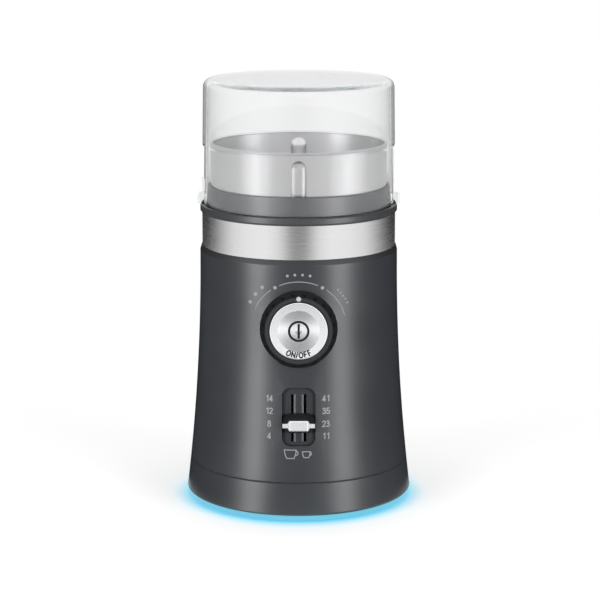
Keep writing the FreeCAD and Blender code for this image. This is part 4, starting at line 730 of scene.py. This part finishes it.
def slider_print(size):
    """Two columns of numbers beside the slider, and two cups under it."""
    shapes = []
    for x, numbers in SLIDER_NUMBERS:
        for number, z in zip(numbers, SLIDER_ROWS):
            for index, digit in enumerate(number):
                strokes, _ = written(digit, size.number_height, size.number_line)
                shift = (index - (len(number) - 1) / 2) * size.digit_step
                shapes += [moved(stroke, (x * MM + shift, z * MM)) for stroke in strokes]
    for x, z, width, height in SLIDER_CUPS:
        shapes += cup(x * MM, z * MM, width * MM, height * MM, size.line)
    return shapes


class GRINDER_OT_slider(bpy.types.Operator):
    """Finish the slider and print its numbers and cups"""
    bl_idname = "grinder.slider"
    bl_label = "Slider"

    def execute(self, context):
        look, size = finishes(context), marks(context)
        # Painted shade: the plate in the slider's recess is a darker copy of the charcoal.
        dress(moulded("slider_plate", tone(look.charcoal, 0.8), roughness=0.36), "slider_track")
        dress(moulded("carriage_black", tone(look.black, 0.9), roughness=0.42), "slider_carriage")
        dress(satin_paint("satin_handle", look.silver, roughness=0.22), "slider_handle")
        dress(moulded("bridge_nylon", look.nylon, roughness=0.42), "slider_bridge")
        mark("slider_marks", slider_print(size), surface("main_housing"), size.ink_rise,
             printed("pale_slider_ink", look.ink), "housing")
        return {"FINISHED"}


class GRINDER_OT_base_light(bpy.types.Operator):
    """Light the ring under the skirt"""
    bl_idname = "grinder.base_light"
    bl_label = "Base light"

    def execute(self, context):
        look = finishes(context)
        dress(lit("glowing_ring", look.glow, strength=0.62), "light_ring")
        dress(lit("blue_lamps", look.glow, strength=2.0), "leds")
        dress(masked_board("lamp_board", look.board), "led_board")
        return {"FINISHED"}


class GRINDER_OT_motor(bpy.types.Operator):
    """Finish the motor and its mountings"""
    bl_idname = "grinder.motor"
    bl_label = "Motor"

    def execute(self, context):
        look = finishes(context)
        dress(wound("copper_windings", look.copper), "field_coils", "armature_winding")
        dress(bare_metal("commutator_copper", look.copper, roughness=0.3), "commutator")
        dress(laminated("core_sheets", tone(look.steel, 0.5)), "stator_core", "armature_core")
        dress(bare_metal("motor_steel", look.steel, roughness=0.2), "motor_shaft", "upper_bearing",
              "lower_bearing", "motor_bolts", "motor_screws", "brush_springs")
        dress(bare_metal("cast_bracket", look.silver, roughness=0.42, grain=0.4 * MM),
              "motor_upper_bracket")
        dress(moulded("motor_nylon", look.nylon, roughness=0.45), "motor_lower_bracket", "cooling_fan",
              "drive_coupler")
        dress(bare_metal("holder_brass", look.brass, roughness=0.3), "brush_holders")
        dress(moulded("brush_carbon", look.carbon, roughness=0.6, grain=0.2 * MM), "carbon_brushes")
        dress(soft_rubber("mount_rubber", look.rubber), "motor_mounts")
        return {"FINISHED"}


class GRINDER_OT_switchgear(bpy.types.Operator):
    """Finish the board, switches and terminals"""
    bl_idname = "grinder.switchgear"
    bl_label = "Board and switches"

    def execute(self, context):
        look = finishes(context)
        dress(masked_board("front_board", look.board), "control_board")
        dress(bare_metal("board_screw_zinc", tone(look.steel, 0.8), roughness=0.3), "board_screws")
        dress(bare_metal("selector_brass", look.brass, roughness=0.28), "grind_selector")
        dress(moulded("switch_black", look.black, roughness=0.5), "power_switch", "interlock_switch",
              "slide_potentiometer")
        dress(moulded("terminal_nylon", look.nylon, roughness=0.45), "terminal_block")
        return {"FINISHED"}


# Studio

def staged(name, verts, faces, made):
    """Object of the studio."""
    mesh = bpy.data.meshes.new(name)
    mesh.from_pydata(verts, [], faces)
    mesh.materials.append(made)
    thing = bpy.data.objects.new(name, mesh)
    bpy.context.scene.collection.objects.link(thing)
    return thing


def seen(tree):
    """One for rays from the camera, mirrors and glass, and nought for diffuse light."""
    path = add(tree, "LightPath").outputs
    either = maths(tree, "MAXIMUM", path["Is Camera Ray"], path["Is Glossy Ray"])
    return maths(tree, "MAXIMUM", either, path["Is Transmission Ray"])


def floor_finish(pale):
    """White floor that keeps the shadow, with a painted pool of cyan light round the skirt."""
    made, tree, shader = blank("pale_floor")
    tree.nodes.remove(shader)
    painted_glow_from, painted_glow_to = 60 * MM, 75 * MM
    white_from, white_to = 100 * MM, 450 * MM
    lift = 0.36
    reach = length_of(tree, add(tree, "TexCoord").outputs["Object"])
    # Painted light: the floor's colour turns cyan near the skirt and pales out to the plain floor,
    # standing for the ring's glow.
    painted_glow = spread(tree, reach, 0.0, 1.0, painted_glow_from, painted_glow_to)
    tint = ramp(tree, painted_glow, (0.0, srgb(146, 214, 236)), (0.2, srgb(172, 223, 240)),
                (0.42, srgb(208, 234, 243)), (0.7, srgb(234, 242, 245)), (1.0, tuple(pale)))
    view = seen(tree)
    matt = add(tree, "BsdfDiffuse", {"Color": tint}).outputs["BSDF"]
    lifted = maths(tree, "MULTIPLY", view, lift)
    bright = add(tree, "Emission", {"Color": tint, "Strength": lifted}).outputs["Emission"]
    near = add(tree, "AddShader", {0: matt, 1: bright}).outputs["Shader"]
    white = add(tree, "Emission", {"Strength": 1.0}).outputs["Emission"]
    far = maths(tree, "MULTIPLY", view, spread(tree, reach, 0.0, 1.0, white_from, white_to))
    floor = add(tree, "MixShader", {0: far, 1: near, 2: white}).outputs["Shader"]
    tree.links.new(floor, tree.nodes["Material Output"].inputs["Surface"])
    return made


def panel_finish(level):
    """White panels left and right, dim ones ahead and behind, and white low down and overhead."""
    made, tree, shader = blank("studio_panels")
    tree.nodes.remove(shader)
    axis = add(tree, "SeparateXYZ", {"Vector": add(tree, "TexCoord").outputs["Object"]}).outputs
    ahead = maths(tree, "MULTIPLY", axis["Y"], -1.0)
    turn = maths(tree, "ABSOLUTE", maths(tree, "ARCTAN2", axis["X"], ahead))
    place = maths(tree, "DIVIDE", turn, pi)
    # Brightness at angles from the front, in degrees
    stops = ((0, 0.16), (7, 0.2), (14, 0.5), (22, 0.82), (36, 1.0), (60, 0.95), (80, 0.8),
             (96, 0.48), (112, 0.17), (130, 0.03), (162, 0.04), (172, 0.5), (180, 0.55))
    tint = ramp(tree, place, *((angle / 180, (value,) * 3) for angle, value in stops))
    flat = add(tree, "CombineXYZ", {"X": axis["X"], "Y": axis["Y"]}).outputs["Vector"]
    far_from, far_to = 340 * MM, 420 * MM
    low_from, low_to = 10 * MM, 35 * MM
    cap_from, cap_to = 240 * MM, 340 * MM
    far = spread(tree, length_of(tree, flat), 0.0, 1.0, far_from, far_to)
    low = maths(tree, "MULTIPLY", far, spread(tree, axis["Z"], 1.0, 0.0, low_from, low_to))
    white = maths(tree, "MAXIMUM", low, spread(tree, axis["Z"], 0.0, 1.0, cap_from, cap_to))
    shade = blended(tree, white, tint, (1.0, 1.0, 1.0))
    glow = add(tree, "Emission", {"Color": shade, "Strength": level}).outputs["Emission"]
    tree.links.new(glow, tree.nodes["Material Output"].inputs["Surface"])
    return made


def lamp(name, watts, size, place, aim):
    """Soft lamp of the given width and height, aimed at a point and left out of mirrors."""
    light = bpy.data.lights.new(name, "AREA")
    light.shape = "RECTANGLE"
    light.size, light.size_y = size
    light.energy = watts
    holder = bpy.data.objects.new(name, light)
    holder.location = place
    holder.rotation_euler = (Vector(aim) - Vector(place)).to_track_quat("-Z", "Y").to_euler()
    holder.visible_camera = False
    holder.visible_glossy = False
    holder.visible_transmission = False
    bpy.context.scene.collection.objects.link(holder)
    return holder


def receivers(name, *nodes):
    """Collection of the frame nodes that a light reaches."""
    group = bpy.data.collections.new(name)
    for node in nodes:
        group.objects.link(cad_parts[node])
    return group


def studio_floor(room):
    """Wide floor."""
    wide = 6.0
    staged("studio_floor", [(-wide, -wide, 0), (wide, -wide, 0), (wide, wide, 0), (-wide, wide, 0)],
           [(0, 1, 2, 3)], floor_finish(room.floor))


def studio_panels(room):
    """Ring of panels with a cap, which only the bright pieces mirror."""
    steps = 72
    # Reach and height of each row of corners, and how much higher the ring is ahead and behind
    rows = ((0.075, 0.0005), (0.5, 0.0005), (0.5, 0.26), (0.3, 0.34), (0.01, 0.36))
    front_rise, back_rise, back_from = 2.6, 1.25, -0.6
    turns = [2 * pi * step / steps for step in range(steps)]
    verts = [(reach * sin(turn), -reach * cos(turn),
              high * (front_rise if cos(turn) > back_from else back_rise))
             for reach, high in rows for turn in turns]
    faces = [(low + i, low + (i + 1) % steps, low + (i + 1) % steps + steps, low + i + steps)
             for low in range(0, (len(rows) - 1) * steps, steps) for i in range(steps)]
    panels = staged("studio_panels", verts, faces, panel_finish(room.panel))
    panels.visible_camera = False
    panels.visible_diffuse = False
    panels.visible_transmission = False
    panels.visible_shadow = False
    panels.light_linking.receiver_collection = receivers(
        "by_the_panels", "steel_band", "grinding_bowl", "lid", "power_button", "slider_handle",
        "grinding_blade", "blade_nut", "blade_spindle", "cord_gland")


def highlights(room):
    """Lamps left and right that only show as highlights on the shell and the bowl."""
    shell = receivers("by_the_strips", "main_housing", "base_ring", "top_collar", "slider_track")
    bowl = receivers("by_the_bowl_lamp", "grinding_bowl")
    away, height, tall = 1.2, 0.25, 0.5
    right_strip_share, left_bowl_share = 0.92, 0.76
    for name, angle, watts, wide, lit_pieces in (
            ("left_strip", -47, room.strip_power, 0.25, shell),
            ("right_strip", 47, right_strip_share * room.strip_power, 0.25, shell),
            ("left_bowl_lamp", -56, left_bowl_share * room.bowl_power, 0.5, bowl),
            ("right_bowl_lamp", 66, room.bowl_power, 0.7, bowl)):
        place = (away * sin(radians(angle)), -away * cos(radians(angle)), height)
        highlight = lamp(name, watts, (wide, tall), place, (0.0, 0.0, height))
        highlight.visible_glossy = True
        highlight.data.diffuse_factor = 0.0
        highlight.light_linking.receiver_collection = lit_pieces


def soft_lamps(room):
    """Soft lamps at both sides and above, and one behind for the shell's back."""
    aim = (0.0, 0.0, 0.11)
    square, far, up = (1.0, 1.0), 1.5, 0.9
    back_share, back_square = 1.6, (1.2, 1.2)
    for name, angle in (("left_lamp", -47), ("right_lamp", 47)):
        place = (far * sin(radians(angle)), -far * cos(radians(angle)), up)
        lamp(name, room.lamp_power, square, place, aim)
    lamp("top_lamp", room.top_power, square, (0.0, 0.2, far), aim)
    behind = lamp("back_lamp", back_share * room.lamp_power, back_square, (0.0, far, up), aim)
    behind.data.specular_factor = 0.4
    behind.light_linking.receiver_collection = receivers(
        "by_the_back_lamp", "main_housing", "base_ring", "cord_gland")


def white_room(strength):
    """World that the camera sees as white and that gives a weaker light."""
    world = bpy.data.worlds.new("studio_room")
    world.use_nodes = True
    tree = world.node_tree
    level = spread(tree, seen(tree), strength, 1.0, 0.0, 1.0)
    feed(tree, tree.nodes["Background"], Color=(1.0, 1.0, 1.0, 1.0), Strength=level)
    return world


def photo_camera():
    """Camera a little above the grinder, looking down at it from the front."""
    back, up, tilt = 1153.56 * MM, 348.23 * MM, 11.672
    view = bpy.data.cameras.new("photo_camera")
    view.lens = 126.945
    view.sensor_width = 36.0
    view.shift_x = 0.00217
    eye = bpy.data.objects.new("photo_camera", view)
    eye.location = (0.0, -back, up)
    eye.rotation_euler = (radians(90 - tilt), 0.0, 0.0)
    bpy.context.scene.collection.objects.link(eye)
    return eye


class GRINDER_OT_studio(bpy.types.Operator):
    """Set up the floor, lamps, room and camera"""
    bl_idname = "grinder.studio"
    bl_label = "Studio"

    def execute(self, context):
        scene = context.scene
        room = scene.grinder_studio
        scene.view_settings.view_transform = "Standard"
        studio_floor(room)
        studio_panels(room)
        highlights(room)
        soft_lamps(room)
        scene.world = white_room(room.room)
        scene.camera = photo_camera()
        return {"FINISHED"}


# Panel and registration

PIECES = (GRINDER_OT_shell, GRINDER_OT_collar, GRINDER_OT_bowl, GRINDER_OT_lid, GRINDER_OT_dial,
          GRINDER_OT_button, GRINDER_OT_slider, GRINDER_OT_base_light, GRINDER_OT_motor,
          GRINDER_OT_switchgear, GRINDER_OT_studio)
GROUPS = {"grinder_finishes": GrinderFinishes, "grinder_marks": GrinderMarks,
          "grinder_studio": GrinderStudio}


class GRINDER_PT_sidebar(bpy.types.Panel):
    """Sizes, colours and pieces of the coffee grinder"""
    bl_idname = "GRINDER_PT_sidebar"
    bl_label = "Coffee grinder"
    bl_space_type = "VIEW_3D"
    bl_region_type = "UI"
    bl_category = "Grinder"

    def draw(self, context):
        for name, group in GROUPS.items():
            column = self.layout.column(align=True)
            for key in group.__annotations__:
                column.prop(getattr(context.scene, name), key)
        column = self.layout.column(align=True)
        for piece in PIECES:
            column.operator(piece.bl_idname)


def register():
    """Make the properties, operators and panel known."""
    for group in GROUPS.values():
        bpy.utils.register_class(group)
    for name, group in GROUPS.items():
        setattr(bpy.types.Scene, name, PointerProperty(type=group))
    for kind in (*PIECES, GRINDER_PT_sidebar):
        bpy.utils.register_class(kind)


def unregister():
    """Take them away again."""
    for kind in (GRINDER_PT_sidebar, *reversed(PIECES)):
        bpy.utils.unregister_class(kind)
    for name, group in GROUPS.items():
        delattr(bpy.types.Scene, name)
        bpy.utils.unregister_class(group)


def main():
    """Make every piece in order."""
    register()
    for piece in PIECES:
        getattr(bpy.ops.grinder, piece.bl_idname.split(".")[1])()


if __name__ == "__main__":
    main()
